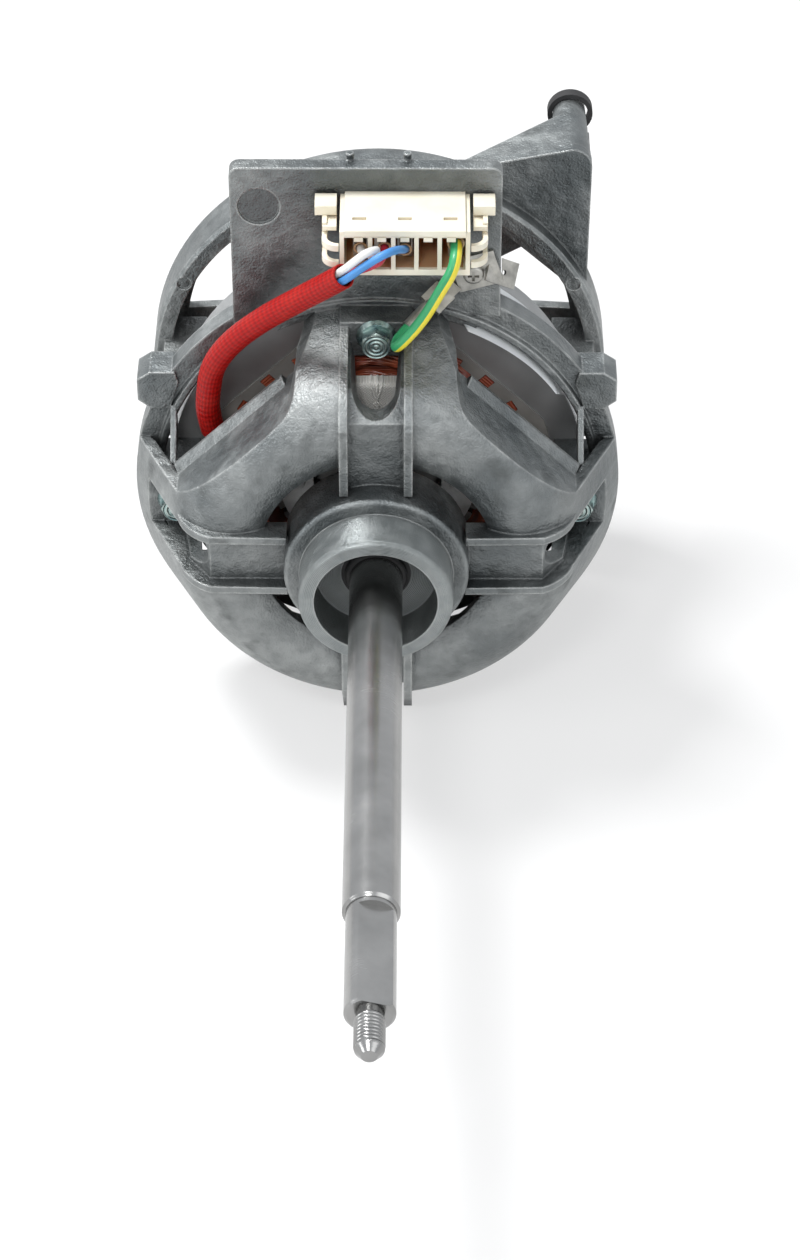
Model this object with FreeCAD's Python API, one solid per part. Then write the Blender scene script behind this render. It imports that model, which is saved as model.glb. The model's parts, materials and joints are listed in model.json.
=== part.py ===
import FreeCAD, Part
import math
import os

# Tumble dryer motor: two die-cast end shields clamp a laminated stator round a cage rotor.
# Millimetres. Y is the shaft axis, with +Y away from the long output shaft; +Z is up, towards the
# connector plate. The origin is on the shaft axis, in the front face of the locating spigot.

V = FreeCAD.Vector
ORIGIN = V(0, 0, 0)
AXIS = V(0, 1, 0)

# Clearances
PRESS_GAP = 0.02
RUN_GAP = 0.05
SEAT_GAP = 0.3
SCREW_GAP = 0.1

# Shaft
SHAFT_R = 8.0
SHAFT_END_Y = -131.0
D_END_R = 7.0
D_END_LENGTH = 37.5
D_FLAT_DEPTH = 2.0
D_FLAT_TURN = 16.0
THREAD_R = 4.0
THREAD_LENGTH = 14.5
THREAD_RELIEF = 0.5
THREAD_TIP_R = 2.2
SHAFT_CORE_R = 10.0
PULLEY_SEAT_R = 7.0
SHAFT_CHAMFER = 0.8

# Ball bearings, 17 x 40 x 12
BEARING_R = 20.0
BEARING_BORE_R = 8.5
BEARING_WIDTH = 12.0
RACE_INNER_R = 11.6
RACE_OUTER_R = 16.9
RACE_GROOVE_R = 3.6
BEARING_SEAL_T = 1.0
BEARING_SEAL_INSET = 0.4

# Front end shield
SPIGOT_R = 23.2
SPIGOT_EDGE_R = 1.4
CUP_R = 18.5
CUP_DEPTH = 14.0
CUP_FLOOR_T = 3.0
SEAL_BORE_R = 10.5
SEAL_COLLAR_R = 9.4
SEAL_COLLAR_OUT = 2.2
BOSS_R = 28.0
BOSS_FRONT_Y = 13.4
BOSS_WALL_BEHIND = 2.0
VENT_R = 35.5
BELL_WALL = 3.2
CROWN_R = 45.5
CROWN_Y = 19.4
SHOULDER_R = 54.5
SHOULDER_Y = 22.4
SIDE_R = 62.0
SIDE_Y = 31.0
RIM_R = 75.0
TOP_SHOULDER_R = 60.6
TOP_MIDDLE_R = 64.2
TOP_BACK_R = 66.0
TOP_HALF_WIDTH = 30.0
RIM_BORE_R = 66.5
RIM_FRONT_Y = 60.5
RIM_BACK_Y = 68.0
RIM_LIP_R = 69.3
RIM_LIP_UP = 1.6
SPOKES = 4
SPOKE_HALF = 8.3
SPOKE_RIB_T = 2.6
SPOKE_FLOOR_Y = 21.8
SPOKE_FLOOR_T = 3.4
SPOKE_RIB_UP = 4.6
SPOKE_BEND_R = 50.5
POCKET_HALF = 7.4
POCKET_INNER_R = 51.0
BOLT_SEAT_Y = 50.0
BOLT_SEAT_INNER_R = 55.0
FOOT_Z = 77.0
FOOT_FRONT_Y = 44.0
WINDOW_FLAT = 54.6
WINDOW_WALL_T = 3.0
WINDOW_WALL_END_Y = 45.3
WINDOW_LIP = 1.8
WINDOW_TOP_X = 25.0
WINDOW_SIDE_X = 60.5

# Connector plate on the front end shield
PLATE_LEFT_X = -43.0
PLATE_RIGHT_X = 37.0
PLATE_TOP_Z = 114.7
PLATE_T = 4.9
PLATE_CORNER_R = 3.0
DIMPLE_R = 6.2
DIMPLE_DEPTH = 0.6
DIMPLE_X = -34.5
DIMPLE_Z = 101.4
NUB_R = 1.2
NUB_UP = 2.0
NUB_XS = (-7.6, 9.2)

# Lugs on the rim
LUG_TOP_Z = 41.5
LUG_BOTTOM_Z = 28.0
LUG_IN_X = 60.5
LUG_OUT_X = 73.2
LUG_CHAMFER = 4.0
LUG_DEPTH = 11.0

# Stator
STACK_FRONT_Y = 67.0
STACK_LENGTH = 30.0
STACK_R = 64.0
STACK_BORE_R = 32.0
STATOR_SLOTS = 24
SLOT_WIDTH = 4.2
SLOT_MOUTH = 1.8
SLOT_TOP_R = 35.0
SLOT_FLOOR_R = 49.0
SLOT_LINER = 0.2
END_PLATE_T = 0.8
END_PLATE_FLAT = 49.8
END_TURN_R = 2.2
END_TURN_PITCH = 5.5
END_TURN_LOOPS = 5
END_TURN_FLAT = 45.3
END_TURN_CORNER_R = 31.0
END_TURN_SIDES = 8
WINDING_BORE_R = 35.2
CUTOUT_LENGTH = 27.0
CUTOUT_HEIGHT = 13.5
CUTOUT_T = 4.3
CUTOUT_Z = 43.5
LABEL_T = 0.15
LABEL_START_DEG = 12.0
LABEL_END_DEG = 74.0
LABEL_WIDTH = 21.5
LABEL_INSET = 1.2

# Through bolts
BOLT_CIRCLE_R = 62.0
BOLT_R = 2.5
BOLT_NOTCH_GAP = 0.4
BOLT_FLANGE_R = 6.0
BOLT_FLANGE_T = 1.4
BOLT_HEX_R = 4.7
BOLT_HEX_T = 4.2
BOLT_FACE_R = 4.1
BOLT_GRIP_BEHIND = 9.0

# Rotor
AIR_GAP = 0.4
ROTOR_BARS = 18
BAR_WIDTH = 3.2
BAR_DEPTH = 6.0
BAR_BRIDGE = 1.2
CAGE_RING_T = 7.0
CAGE_RING_BORE_R = 20.0
FAN_BLADES = 9
FAN_BLADE_T = 2.0
FAN_BLADE_LENGTH = 8.0

# Rear end shield
RING_FRONT_Y = 119.0
RING_LENGTH = 14.0
RING_R = 73.0
RING_WALL = 5.5
RING_BORE_R = RING_R - RING_WALL
REAR_WALL = 3.2
REAR_SHOULDER_IN = 7.0
REAR_SHOULDER_R = RING_R - REAR_SHOULDER_IN
REAR_SHOULDER_Y = 141.5
REAR_HUB_R = 24.0
REAR_HUB_Y = 150.5
REAR_BEARING_Y = 143.0
SPRING_SPACE = 1.6
REAR_FLOOR_T = 3.5
REAR_HOLE_R = 9.6
REAR_VENTS = 8
REAR_VENT_IN_R = 31.0
REAR_VENT_EDGE = 3.0
REAR_VENT_OUT_R = REAR_SHOULDER_R - REAR_VENT_EDGE
REAR_VENT_DEG = 27.0
REAR_SEAT_INTO_RING = 2.5
REAR_SEAT_OUT_R = RING_BORE_R + REAR_SEAT_INTO_RING
REAR_FOOT_X = 24.0
REAR_FOOT_HALF = 4.0
EJECTOR_R = 2.8
EJECTOR_DEPTH = 0.5

# Arm on the rear end shield
ARM_Y = 125.0
ARM_T = 4.0
ARM_RIGHT_X = 66.5
ARM_BOSS_X = 60.5
ARM_BOSS_Z = 73.2
ARM_BOSS_R = 6.3
ARM_BOSS_TIP_R = 5.1
ARM_BOSS_END_Y = 160.0
ARM_FOOT_Z = 29.0
ARM_TANGENT_X = 18.0
ARM_GUSSET_T = 2.4
ARM_GUSSET_BACK = 25.0
ARM_RING_R = 7.2
ARM_RING_BORE_R = 5.7
ARM_RING_T = 3.4
ARM_RING_END_GAP = 0.6

# Belt pulley on the rear shaft end
PULLEY_Y = 163.0
PULLEY_LENGTH = 20.0
PULLEY_R = 11.0
PULLEY_FLANGE_R = 13.0
PULLEY_FLANGE_T = 1.6
PULLEY_GROOVES = 6
PULLEY_GROOVE_DEPTH = 1.6
RETAINER_T = 1.2
RETAINER_OUT = 2.4
RETAINER_GROOVE = 0.5

# Connector
CONNECTOR_X = 8.5
CONNECTOR_HALF = 18.9
CONNECTOR_BOTTOM_Z = 91.0
CONNECTOR_HEIGHT = 15.8
CONNECTOR_OUT = 20.0
CONNECTOR_BEHIND = 10.0
CONNECTOR_STEP = 1.0
CHAMBERS = 5
CHAMBER_PITCH = 6.7
SEPARATOR_T = 1.3
CHAMBER_HEIGHT = 11.0
CHAMBER_SILL = 2.0
CHAMBER_DEPTH = 17.0
SOCKET_DEPTH = 8.5
LIP_OUT = 0.8
LIP_T = 1.8
TOOTH = 1.3
TOP_SLOT_LENGTH = 4.0
TOP_SLOT_WIDTH = 1.4
TOP_SLOT_DEPTH = 1.0
WIRED_CHAMBERS = (0, 1, 2, 4)
TERMINAL_XS = (-4.4, 2.6, 8.6, 23.3)
TERMINAL_ZS = (98.3, 98.4, 97.8, 100.0)
TERMINAL_WALL = 0.5
LATCH_GAP = 1.0
LATCH_OUT = 5.2
LATCH_T = 1.4
LATCH_ARM_HEIGHT = 2.0
PADDLE_LENGTH = 7.0
PADDLE_OUT = 7.4
PADDLE_T = 3.0

# Earth terminal
EARTH_X = 28.8
EARTH_Z = 79.0
BRACKET_T = 1.0
BRACKET_TURN = 17.0
BRACKET_WIDTH = 13.5
BRACKET_HEIGHT = 10.6
TAB_WIDTH = 6.3
TAB_LENGTH = 9.0
TAB_T = 0.8
SCREW_HEAD_R = 3.1
SCREW_HEAD_T = 2.2
SCREW_R = 1.5
RECEPTACLE_START = 2.5
RECEPTACLE_LENGTH = 7.0
RECEPTACLE_WALL = 0.5
NECK_OVER_WIRE = 5.0

# Leads
WIRE_R = 1.2
EARTH_WIRE_R = 1.75
SLEEVE_R = 3.75
SLEEVE_MOUTH_R = 3.0
SLEEVE_MOUTH_DEPTH = 4.0
LEAD_SIDES = 8
SLEEVE_SIDES = 12

SLEEVE_ROUTE = [
    (-9.2, 33.6, 95.1),
    (-15.2, 37.9, 88.2),
    (-24.6, 43.0, 79.0),
    (-34.6, 47.6, 69.2),
    (-43.4, 51.4, 59.0),
    (-49.6, 53.8, 48.4),
    (-51.2, 54.8, 37.8),
    (-51.8, 56.0, 29.5),
    (-50.4, 57.5, 21.6),
]
WHITE_ROUTE = [
    (-11.7, 35.0, 94.5),
    (-9.2, 33.1, 97.3),
    (-5.6, 31.4, 102.0),
    (-2.4, 31.2, 104.9),
    (0.8, 34.2, 104.0),
    (-0.6, 36.6, 100.9),
    (-4.0, 38.8, 99.2),
    (-4.4, 43.6, 98.3),
]
RED_ROUTE = [
    (-9.6, 35.7, 93.1),
    (-6.9, 33.8, 96.2),
    (-1.4, 33.6, 98.4),
    (2.4, 35.8, 99.3),
    (2.6, 43.6, 98.4),
]
BLUE_ROUTE = [
    (-10.7, 33.4, 92.6),
    (-8.0, 31.4, 95.8),
    (-3.0, 29.8, 101.2),
    (2.4, 30.9, 104.4),
    (6.2, 34.2, 103.9),
    (8.4, 38.8, 100.8),
    (8.6, 43.6, 97.8),
]
EARTH_ROUTE = [
    (23.3, 43.6, 100.0),
    (23.4, 37.0, 100.4),
    (22.4, 33.4, 97.0),
    (19.2, 33.6, 90.6),
    (14.9, 35.6, 80.2),
    (10.9, 36.4, 73.4),
    (7.0, 37.0, 68.2),
    (5.7, 40.0, 65.3),
    (6.8, 44.4, 65.8),
    (12.7, 50.1, 69.1),
]
EARTH_TAB_ROOT = (22.2, 59.2, 74.4)


def pair(point):
    return isinstance(point[0], tuple)


def outline(place, start, *steps):
    """Closed face. A step is a corner, or the middle and end of an arc."""
    edges = []
    here = start
    for step in steps + (start,):
        if pair(step):
            middle, end = step
            edges.append(Part.Arc(place(*here), place(*middle), place(*end)).toShape())
            here = end
        elif step != here:
            edges.append(Part.LineSegment(place(*here), place(*step)).toShape())
            here = step
    return Part.Face(Part.Wire(edges))


def turned(start, *steps):
    """Solid of revolution about the shaft axis from an outline in (radius, y)."""
    face = outline(lambda r, y: V(r, y, 0), start, *steps)
    return face.revolve(ORIGIN, AXIS, 360)


def slab(y0, y1, start, *steps):
    """Outline in (x, z), from y0 back to y1."""
    face = outline(lambda x, z: V(x, y0, z), start, *steps)
    return face.extrude(V(0, y1 - y0, 0))


def side_plate(x0, x1, start, *steps):
    """Outline in (z, y), from x0 across to x1."""
    face = outline(lambda z, y: V(x0, y, z), start, *steps)
    return face.extrude(V(x1 - x0, 0, 0))


def box(x0, x1, y0, y1, z0, z1):
    return Part.makeBox(x1 - x0, y1 - y0, z1 - z0, V(x0, y0, z0))


def disc(radius, y0, y1, x=0.0, z=0.0):
    return Part.makeCylinder(radius, y1 - y0, V(x, y0, z), AXIS)


def annulus(inner, outer, y0, y1):
    return disc(outer, y0, y1).cut(disc(inner, y0, y1))


def spun(shape, degrees):
    """Turned about the shaft axis, from +Z towards +X."""
    copy = shape.copy()
    copy.rotate(ORIGIN, AXIS, degrees)
    return copy


def mirrored(shape, x=0.0):
    return shape.mirror(V(x, 0, 0), V(1, 0, 0))


def around(shape, count, start=0.0):
    return [spun(shape, start + 360.0 * i / count) for i in range(count)]


def fused(shapes):
    result = shapes[0].fuse(list(shapes[1:]))
    return result.removeSplitter()


def framed(shape, origin, along, across):
    """Moves a shape drawn with its length on X and width on Y to a frame in space."""
    copy = shape.copy()
    turn = FreeCAD.Rotation(along, across, along.cross(across), "XYZ")
    copy.Placement = FreeCAD.Placement(origin, turn).multiply(copy.Placement)
    return copy


def unit(vector):
    return V(vector).normalize()


def section(centre, direction, radius, sides):
    """Regular polygon of one cord's section, square to its direction."""
    side = unit(direction.cross(V(0.31, 0.22, 0.92)))
    up = unit(direction.cross(side))
    corners = []
    for i in range(sides):
        angle = 2 * math.pi * (i + 0.5) / sides
        corners.append(centre + side * (radius * math.cos(angle)) + up * (radius * math.sin(angle)))
    return Part.makePolygon(corners + [corners[0]])


def swept(edges, radius, sides):
    path = Part.Wire(edges)
    first = edges[0]
    start = first.valueAt(first.FirstParameter)
    direction = first.tangentAt(first.FirstParameter)
    return path.makePipeShell([section(start, direction, radius, sides)], True, False)


def lead(name, route, radius, sides):
    """Straight runs joined by tangent arcs, as large as the runs allow."""
    points = [V(*p) for p in route]
    edges = []
    here = points[0]
    radii = []
    for before, corner, after in zip(points, points[1:], points[2:]):
        come = unit(corner - before)
        leave = unit(after - corner)
        turn = come.getAngle(leave)
        reach = 0.45 * min(before.distanceToPoint(corner), corner.distanceToPoint(after))
        bend = reach / math.tan(turn / 2)
        radii.append(bend)
        begin = corner - come * reach
        end = corner + leave * reach
        inward = unit(leave - come)
        centre = corner + inward * (bend / math.cos(turn / 2))
        middle = centre - inward * bend
        edges.append(Part.LineSegment(here, begin).toShape())
        edges.append(Part.Arc(begin, middle, end).toShape())
        here = end
    edges.append(Part.LineSegment(here, points[-1]).toShape())
    solid = swept(edges, radius, sides)
    length = sum(edge.Length for edge in edges)
    area = 0.5 * sides * radius ** 2 * math.sin(2 * math.pi / sides)
    print(name, "length", round(length, 1), "radii in diameters",
          [round(bend / (2 * radius), 1) for bend in radii],
          "volume over section times length", round(solid.Volume / (area * length), 4))
    return solid


def biarc(start, leaving, end, arriving):
    """Two arcs that join two points and meet both directions."""
    chord = end - start
    both = leaving + arriving
    share = 2 * (1 - leaving.dot(arriving))
    along = chord.dot(both)
    reach = (math.sqrt(along ** 2 + share * chord.dot(chord)) - along) / share
    near = start + leaving * reach
    far = end - arriving * reach
    joint = (near + far) * 0.5
    return [tangent_arc(start, leaving, joint), tangent_arc(joint, unit(far - near), end)]


def tangent_arc(start, leaving, end):
    chord = end - start
    normal = unit(leaving.cross(chord))
    inward = unit(normal.cross(leaving))
    radius = chord.dot(chord) / (2 * chord.dot(inward))
    centre = start + inward * radius
    halfway = (start + end) * 0.5
    middle = centre + unit(halfway - centre) * radius
    return Part.Arc(start, middle, end).toShape()


def spigot_and_boss():
    """Locating spigot, cup and bearing boss."""
    bearing_y = CUP_DEPTH + CUP_FLOOR_T
    back = bearing_y + BEARING_WIDTH + BOSS_WALL_BEHIND
    edge = SPIGOT_EDGE_R
    mid = edge * (1 - math.sqrt(0.5))
    return turned(
        (CUP_R, 0),
        (SPIGOT_R - edge, 0),
        ((SPIGOT_R - mid, mid), (SPIGOT_R, edge)),
        (SPIGOT_R, BOSS_FRONT_Y),
        (BOSS_R - edge, BOSS_FRONT_Y),
        ((BOSS_R - mid, BOSS_FRONT_Y + mid), (BOSS_R, BOSS_FRONT_Y + edge)),
        (BOSS_R, back),
        (BEARING_R + PRESS_GAP, back),
        (BEARING_R + PRESS_GAP, bearing_y),
        (SEAL_BORE_R, bearing_y),
        (SEAL_BORE_R, CUP_DEPTH),
        (CUP_R, CUP_DEPTH))


def bell_solid(inset, front_r, end_y):
    """The bell's form, filled, drawn in by the wall for its cavity."""
    crown = CROWN_Y + inset
    lean = inset * 0.72
    return turned(
        (front_r, crown + 3.0),
        ((CROWN_R, crown), (SHOULDER_R - inset * 0.5, SHOULDER_Y + inset)),
        ((SHOULDER_R + 4.2 - lean, SHOULDER_Y + 3.6 + lean), (SIDE_R - inset, SIDE_Y + inset * 0.55)),
        (RIM_R - 1.5 - inset, RIM_FRONT_Y - 4.5 + inset * 0.55),
        (RIM_R - inset, RIM_FRONT_Y - 1.0),
        (RIM_R - inset, end_y),
        (front_r, end_y))


def top_solid(inset, front_r, end_y):
    """The bell's lower form between the windows, under the rim's inner edge."""
    crown = CROWN_Y + inset
    lean = inset * 0.72
    fall = inset * 0.5
    return turned(
        (front_r, crown + 3.0),
        ((CROWN_R, crown), (SHOULDER_R - inset * 0.5, SHOULDER_Y + inset)),
        ((SHOULDER_R + 3.8 - lean, SHOULDER_Y + 3.4 + lean), (TOP_SHOULDER_R - inset, SIDE_Y - 0.6 + fall)),
        (TOP_MIDDLE_R - inset, FOOT_FRONT_Y + 1.0),
        (TOP_BACK_R - inset, BOLT_SEAT_Y + 2.0),
        (RIM_BORE_R + 0.6 - inset, RIM_FRONT_Y - 1.0),
        (RIM_BORE_R + 0.6 - inset, end_y),
        (front_r, end_y))


def window_outline(y0, y1):
    """Window on the right of the connector plate, open outwards past the rim."""
    chord = WINDOW_FLAT * math.sqrt(2)
    top = (WINDOW_TOP_X, chord - WINDOW_TOP_X)
    side = (WINDOW_SIDE_X, chord - WINDOW_SIDE_X)
    reach = RIM_R + 6
    return slab(
        y0, y1,
        (top[0] - 1.2, top[1] + 5.5),
        ((top[0] + 0.2, top[1] + 1.0), (top[0] + 3.6, top[1] - 3.6)),
        side,
        (reach, side[1]),
        (reach, reach),
        (WINDOW_TOP_X - 8, reach),
        (WINDOW_TOP_X - 6.5, RIM_BORE_R - 2.5))


def window_wall():
    """Flat wall along the window's lower edge, with its lip."""
    half = WINDOW_SIDE_X * math.sqrt(2) - WINDOW_FLAT
    near = WINDOW_TOP_X * math.sqrt(2) - WINDOW_FLAT
    wall = box(near - 2, half + 2, CROWN_Y, WINDOW_WALL_END_Y, WINDOW_FLAT - WINDOW_WALL_T, WINDOW_FLAT)
    lip = side_plate(
        near + 3, half,
        (WINDOW_FLAT - 0.5, WINDOW_WALL_END_Y - 5.0),
        (WINDOW_FLAT + WINDOW_LIP, WINDOW_WALL_END_Y - 1.2),
        (WINDOW_FLAT + WINDOW_LIP, WINDOW_WALL_END_Y),
        (WINDOW_FLAT - 0.5, WINDOW_WALL_END_Y))
    return spun(wall, 45), spun(lip, 45)


def bell():
    """Bell wall with four vent arcs, two windows and the rim."""
    full = bell_solid(0.0, VENT_R, RIM_BACK_Y)
    hollow = bell_solid(BELL_WALL, VENT_R - 1, RIM_FRONT_Y).fuse(disc(RIM_BORE_R, BOLT_SEAT_Y, RIM_BACK_Y + 1))
    top = box(-TOP_HALF_WIDTH, TOP_HALF_WIDTH, 0, RIM_BACK_Y + 1, SHOULDER_R - 12, RIM_R + 1)
    window = window_outline(0, RIM_FRONT_Y)
    windows = [window, mirrored(window)]
    low = top_solid(0.0, VENT_R, RIM_FRONT_Y + 1.0).cut(top_solid(BELL_WALL, VENT_R - 1, RIM_BACK_Y))
    shell = full.cut([hollow, top] + windows)
    crown = low.common(top).cut(windows)
    wall, lip = window_wall()
    wall = wall.common(full)
    return shell.fuse([crown, wall, mirrored(wall), lip, mirrored(lip)])


def spoke_channel():
    """Clears everything in front of the upper spoke's floor."""
    return side_plate(
        -SPOKE_HALF, SPOKE_HALF,
        (BOSS_R - 1.0, -1),
        (BOSS_R - 1.0, SPOKE_FLOOR_Y),
        (SPOKE_BEND_R, SPOKE_FLOOR_Y),
        (SPOKE_BEND_R + 6.5, SPOKE_FLOOR_Y + 9.0),
        (BOLT_CIRCLE_R - 2, BOLT_SEAT_Y),
        (RIM_R + 5, BOLT_SEAT_Y),
        (RIM_R + 5, -1))


def spoke(foot):
    """Upper spoke: two ribs, the floor between them and the bolt seat."""
    outer = SPOKE_HALF + SPOKE_RIB_T
    front = SPOKE_FLOOR_Y - SPOKE_RIB_UP
    if foot:
        edge = [(FOOT_Z - 4.5, FOOT_FRONT_Y - 7.5), ((FOOT_Z - 1.0, FOOT_FRONT_Y - 4.0), (FOOT_Z, FOOT_FRONT_Y)),
                (FOOT_Z, RIM_BACK_Y - 2)]
    else:
        edge = [((SPOKE_BEND_R + 7.0, front + 6.0), (SPOKE_BEND_R + 10.2, SIDE_Y + 0.6)),
                (BOLT_CIRCLE_R + 3.5, BOLT_SEAT_Y),
                (RIM_BORE_R + 0.5, RIM_FRONT_Y)]
    plates = []
    for x in (-outer, SPOKE_HALF):
        plates.append(side_plate(
            x, x + SPOKE_RIB_T,
            (BOSS_R - 1.0, front),
            (SPOKE_BEND_R, front + 0.5),
            *edge,
            (BOLT_SEAT_INNER_R, RIM_FRONT_Y),
            (BOLT_SEAT_INNER_R, SIDE_Y + 4),
            (SPOKE_BEND_R - 1.5, SPOKE_FLOOR_Y + SPOKE_FLOOR_T),
            (BOSS_R - 1.0, SPOKE_FLOOR_Y + SPOKE_FLOOR_T)))
    floor = side_plate(
        -outer, outer,
        (BOSS_R - 1.0, SPOKE_FLOOR_Y),
        (SPOKE_BEND_R, SPOKE_FLOOR_Y),
        (SPOKE_BEND_R + 6.5, SPOKE_FLOOR_Y + 9.0),
        (BOLT_CIRCLE_R - 2, BOLT_SEAT_Y),
        (BOLT_SEAT_INNER_R, BOLT_SEAT_Y),
        (SPOKE_BEND_R + 3.0, SPOKE_FLOOR_Y + 10.5),
        (SPOKE_BEND_R - 1.5, SPOKE_FLOOR_Y + SPOKE_FLOOR_T),
        (BOSS_R - 1.0, SPOKE_FLOOR_Y + SPOKE_FLOOR_T))
    seat = side_plate(
        -outer, outer,
        (BOLT_SEAT_INNER_R, BOLT_SEAT_Y),
        (RIM_BORE_R + 0.5, BOLT_SEAT_Y),
        (RIM_BORE_R + 0.5, STACK_FRONT_Y),
        (BOLT_SEAT_INNER_R, STACK_FRONT_Y))
    return plates + [floor, seat]


def bolt_pocket():
    """Slot through the spoke's shoulder, round at its inner end, and the bolt hole."""
    centre = POCKET_INNER_R + POCKET_HALF
    slot = disc(POCKET_HALF, 0, BOLT_SEAT_Y, 0, centre)
    slot = slot.fuse(box(-POCKET_HALF, POCKET_HALF, 0, BOLT_SEAT_Y, centre, RIM_R))
    hole = disc(BOLT_R + SCREW_GAP, BOLT_SEAT_Y - 1, STACK_FRONT_Y + 1, 0, BOLT_CIRCLE_R)
    return slot.fuse(hole)


def rim():
    ring = turned(
        (RIM_BORE_R, RIM_FRONT_Y - RIM_LIP_UP + 0.6),
        (RIM_BORE_R + 0.6, RIM_FRONT_Y - RIM_LIP_UP),
        (RIM_LIP_R - 0.6, RIM_FRONT_Y - RIM_LIP_UP),
        (RIM_LIP_R, RIM_FRONT_Y),
        (RIM_R - 1.5, RIM_FRONT_Y),
        (RIM_R, RIM_FRONT_Y + 1.5),
        (RIM_R, RIM_BACK_Y),
        (RIM_BORE_R, RIM_BACK_Y))
    return ring


def lug():
    """Block on the right of the rim."""
    return slab(
        RIM_FRONT_Y - 1.0, RIM_FRONT_Y - 1.0 + LUG_DEPTH,
        (LUG_IN_X, LUG_TOP_Z - 4),
        (LUG_IN_X + 1.0, LUG_TOP_Z),
        (LUG_OUT_X - LUG_CHAMFER, LUG_TOP_Z),
        (LUG_OUT_X, LUG_TOP_Z - LUG_CHAMFER * 0.7),
        (LUG_OUT_X, LUG_BOTTOM_Z + LUG_CHAMFER * 0.8),
        (LUG_OUT_X - LUG_CHAMFER, LUG_BOTTOM_Z),
        (LUG_IN_X + 3.0, LUG_BOTTOM_Z))


def window_side():
    """Thin wall that closes the window's outer end."""
    x = WINDOW_SIDE_X + 1.0
    low = WINDOW_FLAT * math.sqrt(2) - WINDOW_SIDE_X - 1.0
    return side_plate(
        x, x + 1.8,
        (low, BOLT_SEAT_Y - 3),
        (low, RIM_FRONT_Y + 2),
        (LUG_BOTTOM_Z + 1, RIM_FRONT_Y + 2),
        (LUG_BOTTOM_Z + 1, RIM_FRONT_Y - 1),
        (low + 4, BOLT_SEAT_Y + 1))


def connector_cut():
    """Opening in the plate that the connector passes through."""
    half = CONNECTOR_HALF - CONNECTOR_STEP + SCREW_GAP
    low = CONNECTOR_BOTTOM_Z + CONNECTOR_STEP - SCREW_GAP
    high = CONNECTOR_BOTTOM_Z + CONNECTOR_HEIGHT - CONNECTOR_STEP + SCREW_GAP
    return box(CONNECTOR_X - half, CONNECTOR_X + half, RIM_FRONT_Y - 2, RIM_FRONT_Y + PLATE_T + 2, low, high)


def connector_plate():
    """Upright plate with rounded corners, ejector dimple and two nubs."""
    bottom = RIM_R - 8.0
    r = PLATE_CORNER_R
    k = r * (1 - math.sqrt(0.5))
    y0 = RIM_FRONT_Y - 0.5
    y1 = y0 + PLATE_T
    plate = slab(
        y0, y1,
        (PLATE_LEFT_X, math.sqrt(RIM_R ** 2 - PLATE_LEFT_X ** 2) - 3),
        (PLATE_LEFT_X, PLATE_TOP_Z - r),
        ((PLATE_LEFT_X + k, PLATE_TOP_Z - k), (PLATE_LEFT_X + r, PLATE_TOP_Z)),
        (PLATE_RIGHT_X - r, PLATE_TOP_Z),
        ((PLATE_RIGHT_X - k, PLATE_TOP_Z - k), (PLATE_RIGHT_X, PLATE_TOP_Z - r)),
        (PLATE_RIGHT_X, math.sqrt(RIM_R ** 2 - PLATE_RIGHT_X ** 2) - 3),
        (0, bottom))
    nubs = [Part.makeCylinder(NUB_R, 8.0 + NUB_UP, V(x, y1 + NUB_R * 0.4, PLATE_TOP_Z - 8.0)) for x in NUB_XS]
    plate = plate.fuse(nubs)
    dimple = disc(DIMPLE_R, y0 - 1, y0 + DIMPLE_DEPTH, DIMPLE_X, DIMPLE_Z)
    screw = disc(SCREW_R + SCREW_GAP, y0 - 1, y1 + 1, EARTH_X, EARTH_Z)
    return plate.cut([dimple, screw, connector_cut()])


def front_end_shield():
    step = 360.0 / SPOKES
    channels = around(spoke_channel(), SPOKES)
    shell = bell().cut(channels)
    pieces = [shell, rim(), connector_plate()]
    for i in range(SPOKES):
        pieces += [spun(piece, step * i) for piece in spoke(i == 2)]
    pieces += [lug(), mirrored(lug()), window_side(), mirrored(window_side())]
    body = pieces[0].fuse(pieces[1:])
    inside = disc(BOSS_R - 0.5, -1, RIM_BACK_Y)
    body = body.cut([inside] + around(bolt_pocket(), SPOKES))
    body = body.fuse(spigot_and_boss())
    body = body.cut(disc(BEARING_R + PRESS_GAP, CUP_DEPTH + CUP_FLOOR_T, RIM_BACK_Y))
    return body.removeSplitter()


def lead_sleeve():
    """Braided sleeve, open at the connector end where the leads come out."""
    solid = lead("lead_sleeve", SLEEVE_ROUTE, SLEEVE_R, SLEEVE_SIDES)
    start = V(*SLEEVE_ROUTE[0])
    inward = unit(V(*SLEEVE_ROUTE[1]) - start)
    mouth = Part.makeCylinder(SLEEVE_MOUTH_R, SLEEVE_MOUTH_DEPTH + 1, start - inward, inward)
    return solid.cut(mouth)


def stack_faces():
    return STACK_FRONT_Y, STACK_FRONT_Y + STACK_LENGTH


def slot_cutter(liner):
    """One stator slot, or with a liner the coil side that lies in it."""
    y0, y1 = stack_faces()
    half = SLOT_WIDTH / 2 - liner
    out = END_PLATE_T + liner if liner else 2.0
    body = box(-half, half, y0 - out, y1 + out, SLOT_TOP_R + liner, SLOT_FLOOR_R - liner)
    if liner:
        return body
    mouth = box(-SLOT_MOUTH / 2, SLOT_MOUTH / 2, y0 - 2, y1 + 2, STACK_BORE_R - 1, SLOT_TOP_R + 0.1)
    return body.fuse(mouth)


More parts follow.
